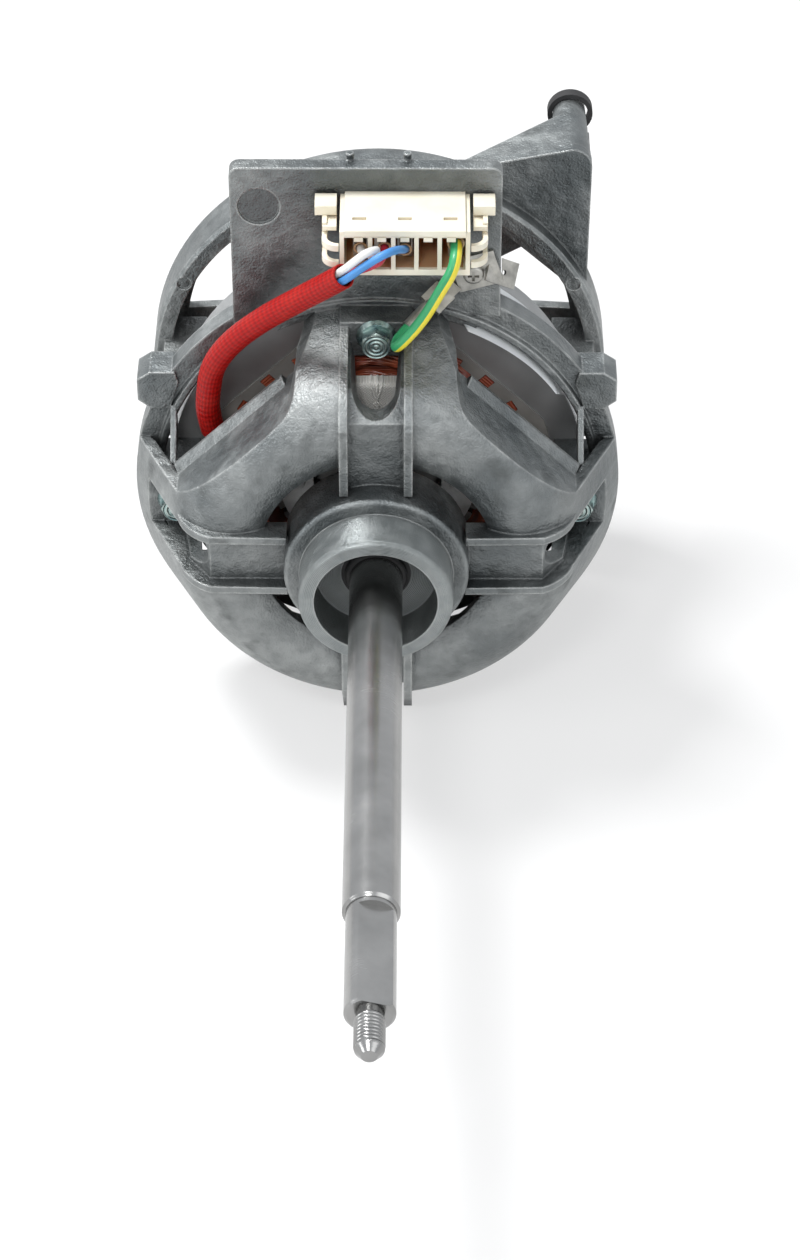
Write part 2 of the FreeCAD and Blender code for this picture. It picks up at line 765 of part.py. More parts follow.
def stator_stack():
    y0, y1 = stack_faces()
    body = annulus(STACK_BORE_R, STACK_R, y0, y1)
    notch = disc(BOLT_R + BOLT_NOTCH_GAP, y0 - 1, y1 + 1, 0, BOLT_CIRCLE_R)
    notch = notch.fuse(box(-BOLT_R - BOLT_NOTCH_GAP, BOLT_R + BOLT_NOTCH_GAP, y0 - 1, y1 + 1,
                           BOLT_CIRCLE_R, STACK_R + 2))
    cuts = around(notch, SPOKES) + around(slot_cutter(0.0), STATOR_SLOTS)
    return body.cut(cuts)


def rounded_square(flat, corner_r, y0, y1):
    """Square with round corners, standing on one corner about the shaft axis."""
    reach = flat - corner_r
    mid = reach + corner_r * math.sqrt(0.5)
    solid = slab(
        y0, y1,
        (-reach, flat),
        (reach, flat),
        ((mid, mid), (flat, reach)),
        (flat, -reach),
        ((mid, -mid), (reach, -flat)),
        (-reach, -flat),
        ((-mid, -mid), (-flat, -reach)),
        (-flat, reach),
        ((-mid, mid), (-reach, flat)))
    return spun(solid, 45)


def end_plates():
    """Fibre plates on both faces of the stack, slotted like it."""
    y0, y1 = stack_faces()
    cuts = around(slot_cutter(0.0), STATOR_SLOTS)
    front = rounded_square(END_PLATE_FLAT, END_TURN_CORNER_R, y0 - END_PLATE_T, y0)
    rear = rounded_square(END_PLATE_FLAT, END_TURN_CORNER_R, y1, y1 + END_PLATE_T)
    bore = disc(STACK_BORE_R + 0.5, y0 - 3, y1 + 3)
    inside = disc(BOLT_SEAT_INNER_R - SEAT_GAP, y0 - 3, y1 + 3)
    return Part.makeCompound([plate.common(inside).cut([bore] + cuts) for plate in (front, rear)])


def end_turn_place(quarter):
    """Flat distance from the axis and height over the stack's face of one straight run."""
    along = END_TURN_PITCH * quarter / 4
    rise = 2 * END_TURN_PITCH
    lean = END_TURN_PITCH * math.sqrt(0.5)
    start = END_PLATE_T + END_TURN_R + SEAT_GAP
    if along <= rise:
        return END_TURN_FLAT, start + along
    if along <= rise + END_TURN_PITCH:
        part = (along - rise) / END_TURN_PITCH
        return END_TURN_FLAT - lean * part, start + rise + lean * part
    rest = along - rise - END_TURN_PITCH
    return END_TURN_FLAT - lean - rest, start + rise + lean


def end_turn_edges(face_y, away):
    """One unbroken wound path: straight runs and biarc corners, up the side and over the face."""
    half = END_TURN_FLAT - END_TURN_CORNER_R
    edges = []
    last = None
    for quarter in range(4 * (END_TURN_LOOPS - 1) + 1):
        flat, height = end_turn_place(quarter)
        angle = math.radians(45 + 90 * quarter)
        normal = V(math.sin(angle), 0, math.cos(angle))
        run = V(math.cos(angle), 0, -math.sin(angle))
        middle = normal * flat + V(0, face_y + away * height, 0)
        begin = middle - run * half
        end = middle + run * half
        if last:
            edges += biarc(last[0], last[1], begin, run)
        edges.append(Part.LineSegment(begin, end).toShape())
        last = (end, run)
    return edges


def least_gap(edges):
    """Least gap of a wound tube to itself, from points along its path."""
    points = []
    walked = 0.0
    for edge in edges:
        steps = max(2, int(edge.Length / 2))
        for point in edge.discretize(steps + 1)[:-1]:
            points.append((walked + edge.Length * len(points) * 0, point))
        walked += edge.Length
    loop = len(points) // (END_TURN_LOOPS - 1)
    least = 1e9
    for i, (_, here) in enumerate(points):
        for _, there in points[i + loop // 2:]:
            least = min(least, here.distanceToPoint(there))
    return least - 2 * END_TURN_R


def end_turns(face_y, away, name):
    edges = end_turn_edges(face_y, away)
    print(name, "loops", END_TURN_LOOPS, "least gap to itself", round(least_gap(edges), 2))
    return swept(edges, END_TURN_R, END_TURN_SIDES)


def winding_mass():
    """Varnished coil sides in the slots and the mass under the end turns."""
    y0, y1 = stack_faces()
    depth = 2 * END_TURN_PITCH + END_TURN_PITCH * math.sqrt(0.5) + END_PLATE_T - SEAT_GAP
    flat = END_TURN_FLAT - END_TURN_R - 2 * SEAT_GAP
    corner = END_TURN_CORNER_R - END_TURN_R - 2 * SEAT_GAP
    edge = (2 - math.sqrt(2)) * END_TURN_R + END_TURN_PITCH * math.sqrt(0.5) - END_TURN_R + SEAT_GAP
    bore = disc(WINDING_BORE_R, y0 - 40, y1 + 40)
    ends = []
    for face_y, away in ((y0, -1), (y1, 1)):
        for inset, height in ((0.0, depth - edge), (edge, depth)):
            near = face_y + away * (END_PLATE_T + PRESS_GAP)
            far = face_y + away * height
            mass = rounded_square(flat - inset, corner - inset, min(near, far), max(near, far))
            ends.append(mass.cut(bore))
    sides = around(slot_cutter(SLOT_LINER), STATOR_SLOTS)
    return ends[0].fuse(ends[1:] + sides)


def front_turns_face():
    flat, height = end_turn_place(4 * (END_TURN_LOOPS - 1))
    return STACK_FRONT_Y - height - END_TURN_R


def thermal_cutout():
    """Cut-out in its insulating sleeve, flat on the front end turns."""
    y1 = front_turns_face() - SEAT_GAP
    y0 = y1 - CUTOUT_T
    half = CUTOUT_LENGTH / 2
    low = CUTOUT_Z - CUTOUT_HEIGHT / 2
    high = CUTOUT_Z + CUTOUT_HEIGHT / 2
    body = box(-half, half, y0, y1, low, high)
    return body.makeFillet(1.6, [edge for edge in body.Edges if abs(edge.BoundBox.YLength) < 0.1
                                 and edge.BoundBox.YMin < y0 + 0.1])


def stator_label():
    y0 = STACK_FRONT_Y + LABEL_INSET
    sheet = annulus(STACK_R + PRESS_GAP, STACK_R + PRESS_GAP + LABEL_T, y0, y0 + LABEL_WIDTH)
    reach = STACK_R + 20
    start = math.radians(LABEL_START_DEG)
    end = math.radians(LABEL_END_DEG)
    wedge = slab(
        y0 - 1, y0 + LABEL_WIDTH + 1,
        (0, 0),
        (reach * math.sin(start), reach * math.cos(start)),
        (reach, reach),
        (reach * math.sin(end), reach * math.cos(end)))
    return sheet.common(wedge)


def through_bolt():
    """Hex-flange bolt at twelve o'clock."""
    face = BOLT_SEAT_Y - BOLT_FLANGE_T - BOLT_HEX_T
    corners = []
    for i in range(6):
        angle = math.radians(60 * i)
        corners.append((BOLT_HEX_R * math.sin(angle), BOLT_CIRCLE_R + BOLT_HEX_R * math.cos(angle)))
    hexagon = slab(face + 0.6, BOLT_SEAT_Y, corners[0], *corners[1:])
    crown = disc(BOLT_FACE_R, face, BOLT_SEAT_Y, 0, BOLT_CIRCLE_R)
    flange = Part.makeCone(BOLT_FLANGE_R - 0.9, BOLT_FLANGE_R, BOLT_FLANGE_T,
                           V(0, BOLT_SEAT_Y - BOLT_FLANGE_T, BOLT_CIRCLE_R), AXIS)
    shank = disc(BOLT_R, face + 1, RING_FRONT_Y + BOLT_GRIP_BEHIND, 0, BOLT_CIRCLE_R)
    return crown.fuse([hexagon, flange, shank])


def shaft():
    """Output shaft with D end and thread, core seat, bearing seats and pulley seat."""
    front_seat = CUP_DEPTH + CUP_FLOOR_T
    rear_seat = REAR_BEARING_Y
    d_end = SHAFT_END_Y - D_END_LENGTH
    tip = d_end - THREAD_LENGTH
    rear_end = PULLEY_Y + PULLEY_LENGTH + 2.5 * RETAINER_T
    retainer = rear_seat + BEARING_WIDTH
    pulley_retainer = PULLEY_Y + PULLEY_LENGTH
    c = SHAFT_CHAMFER
    body = turned(
        (0, tip),
        (THREAD_TIP_R, tip),
        (THREAD_R, tip + 2.2),
        (THREAD_R, d_end - 1.5),
        (THREAD_R - THREAD_RELIEF, d_end - 1.2),
        (THREAD_R - THREAD_RELIEF, d_end),
        (D_END_R - c, d_end),
        (D_END_R, d_end + c),
        (D_END_R, SHAFT_END_Y),
        (SHAFT_R - c, SHAFT_END_Y),
        (SHAFT_R, SHAFT_END_Y + c),
        (SHAFT_R, front_seat - 0.3),
        (BEARING_BORE_R, front_seat - 0.3),
        (BEARING_BORE_R, front_seat + BEARING_WIDTH),
        (SHAFT_CORE_R, front_seat + BEARING_WIDTH),
        (SHAFT_CORE_R, rear_seat),
        (BEARING_BORE_R, rear_seat),
        (BEARING_BORE_R, retainer),
        (BEARING_BORE_R - RETAINER_GROOVE, retainer),
        (BEARING_BORE_R - RETAINER_GROOVE, retainer + RETAINER_T),
        (BEARING_BORE_R, retainer + RETAINER_T),
        (BEARING_BORE_R, PULLEY_Y),
        (PULLEY_SEAT_R, PULLEY_Y),
        (PULLEY_SEAT_R, pulley_retainer),
        (PULLEY_SEAT_R - RETAINER_GROOVE, pulley_retainer),
        (PULLEY_SEAT_R - RETAINER_GROOVE, pulley_retainer + RETAINER_T),
        (PULLEY_SEAT_R, pulley_retainer + RETAINER_T),
        (PULLEY_SEAT_R, rear_end - c),
        (PULLEY_SEAT_R - c, rear_end),
        (0, rear_end))
    flat = box(-2 * D_END_R, 2 * D_END_R, d_end - 0.1, SHAFT_END_Y - 1.5, D_END_R - D_FLAT_DEPTH, 2 * D_END_R)
    return body.cut(spun(flat, D_FLAT_TURN))


def bearing_rings(y0):
    """Inner and outer ring with their ball grooves."""
    y1 = y0 + BEARING_WIDTH
    middle = (y0 + y1) / 2
    pitch = (RACE_INNER_R + RACE_OUTER_R) / 2
    drop = pitch - RACE_GROOVE_R
    reach = math.sqrt(RACE_GROOVE_R ** 2 - (pitch - RACE_INNER_R) ** 2)
    inner = turned(
        (BEARING_BORE_R + PRESS_GAP, y0),
        (RACE_INNER_R, y0),
        (RACE_INNER_R, middle - reach),
        ((drop, middle), (RACE_INNER_R, middle + reach)),
        (RACE_INNER_R, y1),
        (BEARING_BORE_R + PRESS_GAP, y1))
    outer = turned(
        (BEARING_R, y0),
        (RACE_OUTER_R, y0),
        (RACE_OUTER_R, middle - reach),
        ((pitch + RACE_GROOVE_R, middle), (RACE_OUTER_R, middle + reach)),
        (RACE_OUTER_R, y1),
        (BEARING_R, y1))
    return inner, outer


def bearing_seals(y0):
    near = y0 + BEARING_SEAL_INSET
    far = y0 + BEARING_WIDTH - BEARING_SEAL_INSET - BEARING_SEAL_T
    seals = []
    for y in (near, far):
        seals.append(annulus(RACE_INNER_R + RUN_GAP, RACE_OUTER_R - PRESS_GAP, y, y + BEARING_SEAL_T))
    return Part.makeCompound(seals)


def front_shaft_seal():
    """Rubber seal in the cup's floor with a collar round the shaft."""
    y0 = CUP_DEPTH - SEAL_COLLAR_OUT
    y1 = CUP_DEPTH + CUP_FLOOR_T - 0.5
    return turned(
        (SHAFT_R + RUN_GAP, y0),
        (SEAL_COLLAR_R - 0.5, y0),
        (SEAL_COLLAR_R, y0 + 0.5),
        (SEAL_COLLAR_R, CUP_DEPTH),
        (SEAL_BORE_R - PRESS_GAP, CUP_DEPTH),
        (SEAL_BORE_R - PRESS_GAP, y1),
        (SHAFT_R + RUN_GAP, y1))


def bar_slot(gap, y0, y1):
    outer = STACK_BORE_R - AIR_GAP - BAR_BRIDGE
    half = BAR_WIDTH / 2 - gap
    return box(-half, half, y0, y1, outer - BAR_DEPTH + gap, outer - gap)


def rotor_core():
    y0, y1 = stack_faces()
    body = annulus(SHAFT_CORE_R + PRESS_GAP, STACK_BORE_R - AIR_GAP, y0, y1)
    return body.cut(around(bar_slot(0.0, y0 - 1, y1 + 1), ROTOR_BARS))


def rotor_cage():
    """Bars, end rings and fan blades of one casting."""
    y0, y1 = stack_faces()
    outer = STACK_BORE_R - AIR_GAP - BAR_BRIDGE + 0.4
    front = annulus(CAGE_RING_BORE_R, outer, y0 - CAGE_RING_T, y0)
    rear = annulus(CAGE_RING_BORE_R, outer, y1, y1 + CAGE_RING_T)
    bars = around(bar_slot(PRESS_GAP, y0 - 1, y1 + 1), ROTOR_BARS)
    half = FAN_BLADE_T / 2
    reach = CAGE_RING_T + FAN_BLADE_LENGTH
    blade = side_plate(
        -half, half,
        (CAGE_RING_BORE_R + 1.0, y0 - CAGE_RING_T + 1),
        (CAGE_RING_BORE_R + 3.0, y0 - reach),
        (outer - 1.0, y0 - reach),
        (outer - 0.5, y0 - CAGE_RING_T + 1))
    tail = side_plate(
        -half, half,
        (CAGE_RING_BORE_R + 1.0, y1 + CAGE_RING_T - 1),
        (CAGE_RING_BORE_R + 3.0, y1 + reach),
        (outer - 1.0, y1 + reach),
        (outer - 0.5, y1 + CAGE_RING_T - 1))
    blades = around(blade, FAN_BLADES) + around(tail, FAN_BLADES)
    return front.fuse([rear] + bars + blades)


def rear_bell():
    """Ring, dished wall and bearing hub."""
    back = REAR_BEARING_Y + BEARING_WIDTH + SPRING_SPACE
    end = back + REAR_FLOOR_T
    ring_end = RING_FRONT_Y + RING_LENGTH
    wall = REAR_WALL
    mouth = REAR_BEARING_Y - 2.0
    return turned(
        (RING_BORE_R, RING_FRONT_Y),
        (RING_R - 1.0, RING_FRONT_Y),
        (RING_R, RING_FRONT_Y + 1.0),
        (RING_R, ring_end),
        ((RING_R - 1.8, ring_end + 5.6), (REAR_SHOULDER_R, REAR_SHOULDER_Y)),
        (REAR_HUB_R + 5, REAR_HUB_Y),
        (REAR_HUB_R, REAR_HUB_Y + 2.0),
        (REAR_HUB_R - 0.5, end),
        (REAR_HOLE_R, end),
        (REAR_HOLE_R, back),
        (BEARING_R + PRESS_GAP, back),
        (BEARING_R + PRESS_GAP, mouth),
        (REAR_HUB_R - 0.5, mouth),
        (REAR_HUB_R + 2, REAR_HUB_Y - wall),
        (REAR_SHOULDER_R - 1.5, REAR_SHOULDER_Y - wall),
        ((RING_BORE_R - 0.6, ring_end + 3.0), (RING_BORE_R, ring_end - 1.0)))


def rear_vent():
    """Opening between two ribs of the dished wall."""
    half = math.radians(REAR_VENT_DEG / 2)
    inner = REAR_VENT_IN_R
    outer = REAR_VENT_OUT_R
    narrow = half * 0.8
    return slab(
        REAR_SHOULDER_Y - 8, REAR_HUB_Y + 3,
        (-inner * math.sin(narrow), inner * math.cos(narrow)),
        ((0, inner), (inner * math.sin(narrow), inner * math.cos(narrow))),
        (outer * math.sin(half), outer * math.cos(half)),
        ((0, outer), (-outer * math.sin(half), outer * math.cos(half))))


def rear_seat():
    """Seat that reaches forward to the stack's rear face, with the tapped hole."""
    outer = SPOKE_HALF + SPOKE_RIB_T
    back = stack_faces()[1]
    return slab(
        back, RING_FRONT_Y + BOLT_GRIP_BEHIND + 4,
        (-outer, BOLT_SEAT_INNER_R + 1),
        (outer, BOLT_SEAT_INNER_R + 1),
        (outer, REAR_SEAT_OUT_R - 1),
        ((0, REAR_SEAT_OUT_R), (-outer, REAR_SEAT_OUT_R - 1)))


def arm_top(x):
    """Height of the arm's upper edge, from its tangent on the ring to the boss."""
    low = math.sqrt(RING_R ** 2 - ARM_TANGENT_X ** 2)
    share = (x - ARM_TANGENT_X) / (ARM_BOSS_X - ARM_TANGENT_X)
    return low + share * (ARM_BOSS_Z + ARM_BOSS_R - low)


def arm():
    """Upright web with its top gusset and the tapered boss."""
    k = ARM_BOSS_R * math.sqrt(0.5)
    y1 = ARM_Y + ARM_T
    top = (ARM_BOSS_X, ARM_BOSS_Z + ARM_BOSS_R)
    right = ARM_BOSS_X + ARM_BOSS_R
    web = slab(
        ARM_Y, y1,
        (ARM_TANGENT_X, arm_top(ARM_TANGENT_X) - 2),
        (ARM_TANGENT_X, arm_top(ARM_TANGENT_X)),
        top,
        ((ARM_BOSS_X + k, ARM_BOSS_Z + k), (right, ARM_BOSS_Z)),
        (ARM_RIGHT_X, ARM_FOOT_Z),
        (ARM_RIGHT_X - 6, ARM_FOOT_Z))
    boss = Part.makeCone(ARM_BOSS_R, ARM_BOSS_TIP_R, ARM_BOSS_END_Y - ARM_Y,
                         V(ARM_BOSS_X, ARM_Y, ARM_BOSS_Z), AXIS)
    start = V(ARM_TANGENT_X, ARM_Y, arm_top(ARM_TANGENT_X))
    finish = V(ARM_BOSS_X, ARM_Y, top[1])
    back = V(ARM_BOSS_X, ARM_Y + ARM_GUSSET_BACK, top[1] - 0.9)
    gusset = Part.Face(Part.makePolygon([start, finish, back, start]))
    gusset = gusset.extrude(V(0, 0, -ARM_GUSSET_T))
    side = side_plate(
        ARM_RIGHT_X - ARM_GUSSET_T, ARM_RIGHT_X,
        (ARM_FOOT_Z + 1, ARM_Y),
        (ARM_BOSS_Z, ARM_Y),
        (ARM_BOSS_Z, ARM_Y + ARM_GUSSET_BACK * 0.8),
        (ARM_FOOT_Z + 1, y1))
    return [web, boss, gusset, side]


def rear_foot(x):
    return box(x - REAR_FOOT_HALF, x + REAR_FOOT_HALF, RING_FRONT_Y, RING_FRONT_Y + RING_LENGTH, -FOOT_Z, -RING_BORE_R + 3)


def rear_end_shield():
    bell_part = rear_bell().cut(around(rear_vent(), REAR_VENTS, 180.0 / REAR_VENTS))
    feet = [rear_foot(-REAR_FOOT_X), rear_foot(REAR_FOOT_X)]
    body = bell_part.fuse(around(rear_seat(), SPOKES) + arm() + feet)
    tap = disc(BOLT_R + PRESS_GAP, stack_faces()[1] - 1, RING_FRONT_Y + BOLT_GRIP_BEHIND, 0, BOLT_CIRCLE_R)
    mark_r = (RING_R + RING_BORE_R) / 2
    mark = disc(EJECTOR_R * 0.8, RING_FRONT_Y - 1, RING_FRONT_Y + EJECTOR_DEPTH, 0, mark_r)
    marks = [spun(mark, 62), spun(mark, -62)]
    bore = disc(BOLT_SEAT_INNER_R + 0.5, stack_faces()[1] - 1, REAR_SHOULDER_Y - 8)
    body = body.cut(around(tap, SPOKES) + marks + [bore])
    return body.removeSplitter()


def arm_ring():
    """Loose ring that hangs on the tip of the arm's boss."""
    tip = ARM_BOSS_END_Y
    y0 = tip - ARM_RING_T - ARM_RING_END_GAP
    x = ARM_BOSS_X + 0.35
    z = ARM_BOSS_Z - 0.1
    ring = disc(ARM_RING_R, y0, y0 + ARM_RING_T, x, z)
    return ring.cut(disc(ARM_RING_BORE_R, y0 - 1, tip, x, z))


def wave_spring():
    """Thin ring that preloads the rear bearing, drawn flat."""
    y0 = REAR_BEARING_Y + BEARING_WIDTH + 0.1
    return annulus(RACE_OUTER_R, BEARING_R - 0.4, y0, y0 + SPRING_SPACE - 0.2)


def retainer(seat_r, y0):
    """Retaining ring with its gap, in its groove."""
    body = annulus(seat_r - RETAINER_GROOVE + PRESS_GAP, seat_r + RETAINER_OUT,
                   y0 + PRESS_GAP, y0 + RETAINER_T - PRESS_GAP)
    return body.cut(box(-1.6, 1.6, y0 - 1, y0 + RETAINER_T + 1, 0, seat_r + 2 * RETAINER_OUT))


def belt_pulley():
    """Grooved pulley for a ribbed belt, with one flange each side."""
    y = PULLEY_Y + PULLEY_FLANGE_T
    pitch = (PULLEY_LENGTH - 2 * PULLEY_FLANGE_T) / (PULLEY_GROOVES + 1)
    steps = [(PULLEY_FLANGE_R, PULLEY_Y), (PULLEY_FLANGE_R, y), (PULLEY_R, y + 0.3)]
    for i in range(PULLEY_GROOVES):
        start = y + pitch * (i + 0.5)
        steps += [(PULLEY_R, start + 0.2), (PULLEY_R - PULLEY_GROOVE_DEPTH, start + pitch / 2),
                  (PULLEY_R, start + pitch - 0.2)]
    end = PULLEY_Y + PULLEY_LENGTH
    steps += [(PULLEY_R, end - PULLEY_FLANGE_T - 0.3), (PULLEY_FLANGE_R, end - PULLEY_FLANGE_T),
              (PULLEY_FLANGE_R, end), (PULLEY_SEAT_R + PRESS_GAP, end)]
    return turned((PULLEY_SEAT_R + PRESS_GAP, PULLEY_Y), *steps)


def chamber_span(i):
    """Left and right side of one chamber; the two outer ones are wider."""
    left = CONNECTOR_X + CHAMBER_PITCH * (i - CHAMBERS / 2) + SEPARATOR_T / 2
    right = left + CHAMBER_PITCH - SEPARATOR_T
    if i == 0:
        left = CONNECTOR_X - CONNECTOR_HALF + SEPARATOR_T
    if i == CHAMBERS - 1:
        right = CONNECTOR_X + CONNECTOR_HALF - SEPARATOR_T
    return left, right


def chamber_x(i):
    return CONNECTOR_X + CHAMBER_PITCH * (i - (CHAMBERS - 1) / 2)


def plate_front_y():
    return RIM_FRONT_Y - 0.5


def connector_housing():
    """Five-chamber housing that snaps into the plate, with one wide socket behind."""
    front = plate_front_y() - CONNECTOR_OUT
    face = plate_front_y()
    left = CONNECTOR_X - CONNECTOR_HALF
    right = CONNECTOR_X + CONNECTOR_HALF
    top = CONNECTOR_BOTTOM_Z + CONNECTOR_HEIGHT
    step = CONNECTOR_STEP
    rear_end = face + PLATE_T + CONNECTOR_BEHIND
    body = box(left, right, front, face, CONNECTOR_BOTTOM_Z, top - 0.8)
    lid = box(left + 1.3, right - 1.3, front - LIP_OUT, face, top - LIP_T, top)
    rear = box(left + step, right - step, face, rear_end, CONNECTOR_BOTTOM_Z + step, top - step)
    teeth = []
    floor = CONNECTOR_BOTTOM_Z + CHAMBER_SILL
    cuts = [box(left + 2 * step, right - 2 * step, rear_end - SOCKET_DEPTH, rear_end + 1,
                floor + 1, floor + CHAMBER_HEIGHT - 1)]
    for i in range(CHAMBERS):
        x = chamber_x(i)
        x0, x1 = chamber_span(i)
        cuts.append(box(x0, x1, front - 2, front + CHAMBER_DEPTH, floor, floor + CHAMBER_HEIGHT))
        teeth.append(box(x - TOOTH, x + TOOTH, front - 0.2, front + 1.4, floor + CHAMBER_HEIGHT - TOOTH,
                         floor + CHAMBER_HEIGHT + 0.2))
    for i in (0, 2, 4):
        x = chamber_x(i) + (2 - i) * 0.1
        half = TOP_SLOT_LENGTH / 2
        y = front + 5.8
        cuts.append(box(x - half, x + half, y - TOP_SLOT_WIDTH / 2, y + TOP_SLOT_WIDTH / 2, top - TOP_SLOT_DEPTH, top + 1))
    body = body.fuse([lid, rear]).cut(cuts)
    return body.fuse(teeth).removeSplitter()


def connector_latch():
    """Left latch: two bent arms from the front corner, side bar and finger paddle."""
    front = plate_front_y() - CONNECTOR_OUT
    side = CONNECTOR_X - CONNECTOR_HALF
    face = plate_front_y()
    inner = side - SEAT_GAP
    outer = side - LATCH_OUT
    top = CONNECTOR_BOTTOM_Z + CONNECTOR_HEIGHT
    arms = []
    bend = 6.0
    for low in (top - 13.6, top - 8.0):
        face_2d = outline(
            lambda x, y: V(x, y, low),
            (inner, front + 0.6),
            ((outer + 1.3, front + 1.9), (outer, front + bend)),
            (outer, face - 2.0),
            (outer + LATCH_T, face - 2.0),
            (outer + LATCH_T, front + bend),
            ((outer + LATCH_T + 0.8, front + 3.2), (inner, front + 0.6 + LATCH_T)))
        arms.append(face_2d.extrude(V(0, 0, LATCH_ARM_HEIGHT)))
    bar = box(outer, outer + LATCH_T, front + bend + 2.0, face - 0.8, top - 13.6, top - PADDLE_T + 0.1)
    stem = box(outer + 0.2, side - LATCH_GAP, front + bend + 1.0, face - 5.0, top - PADDLE_T - 2.0, top - PADDLE_T - 0.6)
    paddle = box(side - PADDLE_OUT, side - LATCH_GAP, face - 1.0 - PADDLE_LENGTH, face - 1.0, top - PADDLE_T, top)
    return fused(arms + [bar, stem, paddle])


def connector_terminals():
    """Crimped receptacles in the wired chambers."""
    front = plate_front_y() - CONNECTOR_OUT
    middle = CONNECTOR_BOTTOM_Z + CHAMBER_SILL + CHAMBER_HEIGHT / 2
    solids = []
    for i, x, z in zip(WIRED_CHAMBERS, TERMINAL_XS, TERMINAL_ZS):
        wire = EARTH_WIRE_R if i == CHAMBERS - 1 else WIRE_R
        barrel = disc(wire + TERMINAL_WALL, front + 3.6, front + 7.5, x, z)
        bore = disc(wire + RUN_GAP, front + 3.5, front + 6.5, x, z)
        blade_x = chamber_x(i) if 0 < i < CHAMBERS - 1 else x
        low = CONNECTOR_BOTTOM_Z + CHAMBER_SILL
        blade = box(blade_x - 2.2, blade_x + 2.2, front + 7.0, front + CHAMBER_DEPTH, low, middle + 1.2)
        solids.append(barrel.cut(bore).fuse(blade))
    return Part.makeCompound(solids)


def bracket_frame():
    """Directions of the male tab that the earth receptacle is pushed on."""
    root = V(*EARTH_TAB_ROOT)
    along = unit(V(*EARTH_ROUTE[-1]) - root)
    across = unit(along.cross(V(0, -0.76, 0.65)))
    return root, along, across


def wing_frame():
    root = V(34.4, plate_front_y() - 0.6, 80.0)
    along = unit(V(8.6, 5.6, -7.2))
    across = unit(along.cross(V(0.0, -0.76, 0.65)))
    return root, along, across


def earth_bracket():
    """Stamped bracket: a square screwed to the plate and two angled tabs."""
    face = plate_front_y()
    y0 = face - BRACKET_T
    half = BRACKET_WIDTH / 2
    low = -BRACKET_HEIGHT / 2 - 0.6
    high = BRACKET_HEIGHT / 2 + 0.4
    plate = box(-half + 1.0, half + 1.0, y0, face, low, high)
    plate.rotate(V(0, face, 0), AXIS, -BRACKET_TURN)
    plate.translate(V(EARTH_X, 0, EARTH_Z))
    hole = disc(SCREW_R + SCREW_GAP, y0 - 1, face + 1, EARTH_X, EARTH_Z)
    tab = Part.makeBox(TAB_LENGTH, TAB_WIDTH, TAB_T, V(-1.0, -TAB_WIDTH / 2, -TAB_T / 2))
    root, along, across = bracket_frame()
    male = framed(tab, root, along, across)
    root, along, across = wing_frame()
    wing = Part.makeBox(TAB_LENGTH + 3.5, TAB_WIDTH + 1.6, TAB_T, V(-2.0, -TAB_WIDTH / 2 - 0.8, -TAB_T / 2))
    wing_hole = Part.makeCylinder(0.8, 4, V(5.0, 0, -2))
    wing = framed(wing.cut(wing_hole), root, along, across)
    guard = box(-100, PLATE_RIGHT_X + 0.3, face, face + PLATE_T + 20, 0, 200)
    return plate.fuse([male, wing.cut(guard)]).cut([hole, guard])


def earth_receptacle():
    """Receptacle pushed on the male tab, with its crimped neck."""
    root, along, across = bracket_frame()
    wide = TAB_WIDTH + 2 * (RECEPTACLE_WALL + RUN_GAP)
    tall = TAB_T + 2 * (RECEPTACLE_WALL + 0.3)
    start = RECEPTACLE_START
    body = Part.makeBox(RECEPTACLE_LENGTH, wide, tall, V(start, -wide / 2, -tall / 2))
    slot = Part.makeBox(RECEPTACLE_LENGTH, TAB_WIDTH + 2 * RUN_GAP, TAB_T + 2 * RUN_GAP,
                        V(start - 0.5, -TAB_WIDTH / 2 - RUN_GAP, -TAB_T / 2 - RUN_GAP))
    wire_end = root.distanceToPoint(V(*EARTH_ROUTE[-1]))
    neck_start = start + RECEPTACLE_LENGTH - 0.6
    neck_r = EARTH_WIRE_R + RECEPTACLE_WALL
    neck = Part.makeCylinder(neck_r, wire_end + NECK_OVER_WIRE - neck_start, V(neck_start, 0, 0), V(1, 0, 0))
    bore = Part.makeCylinder(EARTH_WIRE_R + RUN_GAP, 2 * NECK_OVER_WIRE, V(wire_end - 0.05, 0, 0), V(1, 0, 0))
    return framed(body.fuse(neck).cut([slot, bore]), root, along, across)


def earth_screw():
    """Pan head screw with a cross recess."""
    face = plate_front_y() - BRACKET_T
    head = disc(SCREW_HEAD_R, face - SCREW_HEAD_T, face, EARTH_X, EARTH_Z)
    rim_edges = [edge for edge in head.Edges if edge.BoundBox.YMax < face - SCREW_HEAD_T + 0.01]
    head = head.makeFillet(0.9, rim_edges)
    shank = disc(SCREW_R, face - 1, plate_front_y() + PLATE_T + 1.0, EARTH_X, EARTH_Z)
    top = face - SCREW_HEAD_T
    cross = [box(EARTH_X - 1.7, EARTH_X + 1.7, top - 1, top + 1.0, EARTH_Z - 0.4, EARTH_Z + 0.4),
             box(EARTH_X - 0.4, EARTH_X + 0.4, top - 1, top + 1.0, EARTH_Z - 1.7, EARTH_Z + 1.7)]
    return head.fuse(shank).cut(cross)


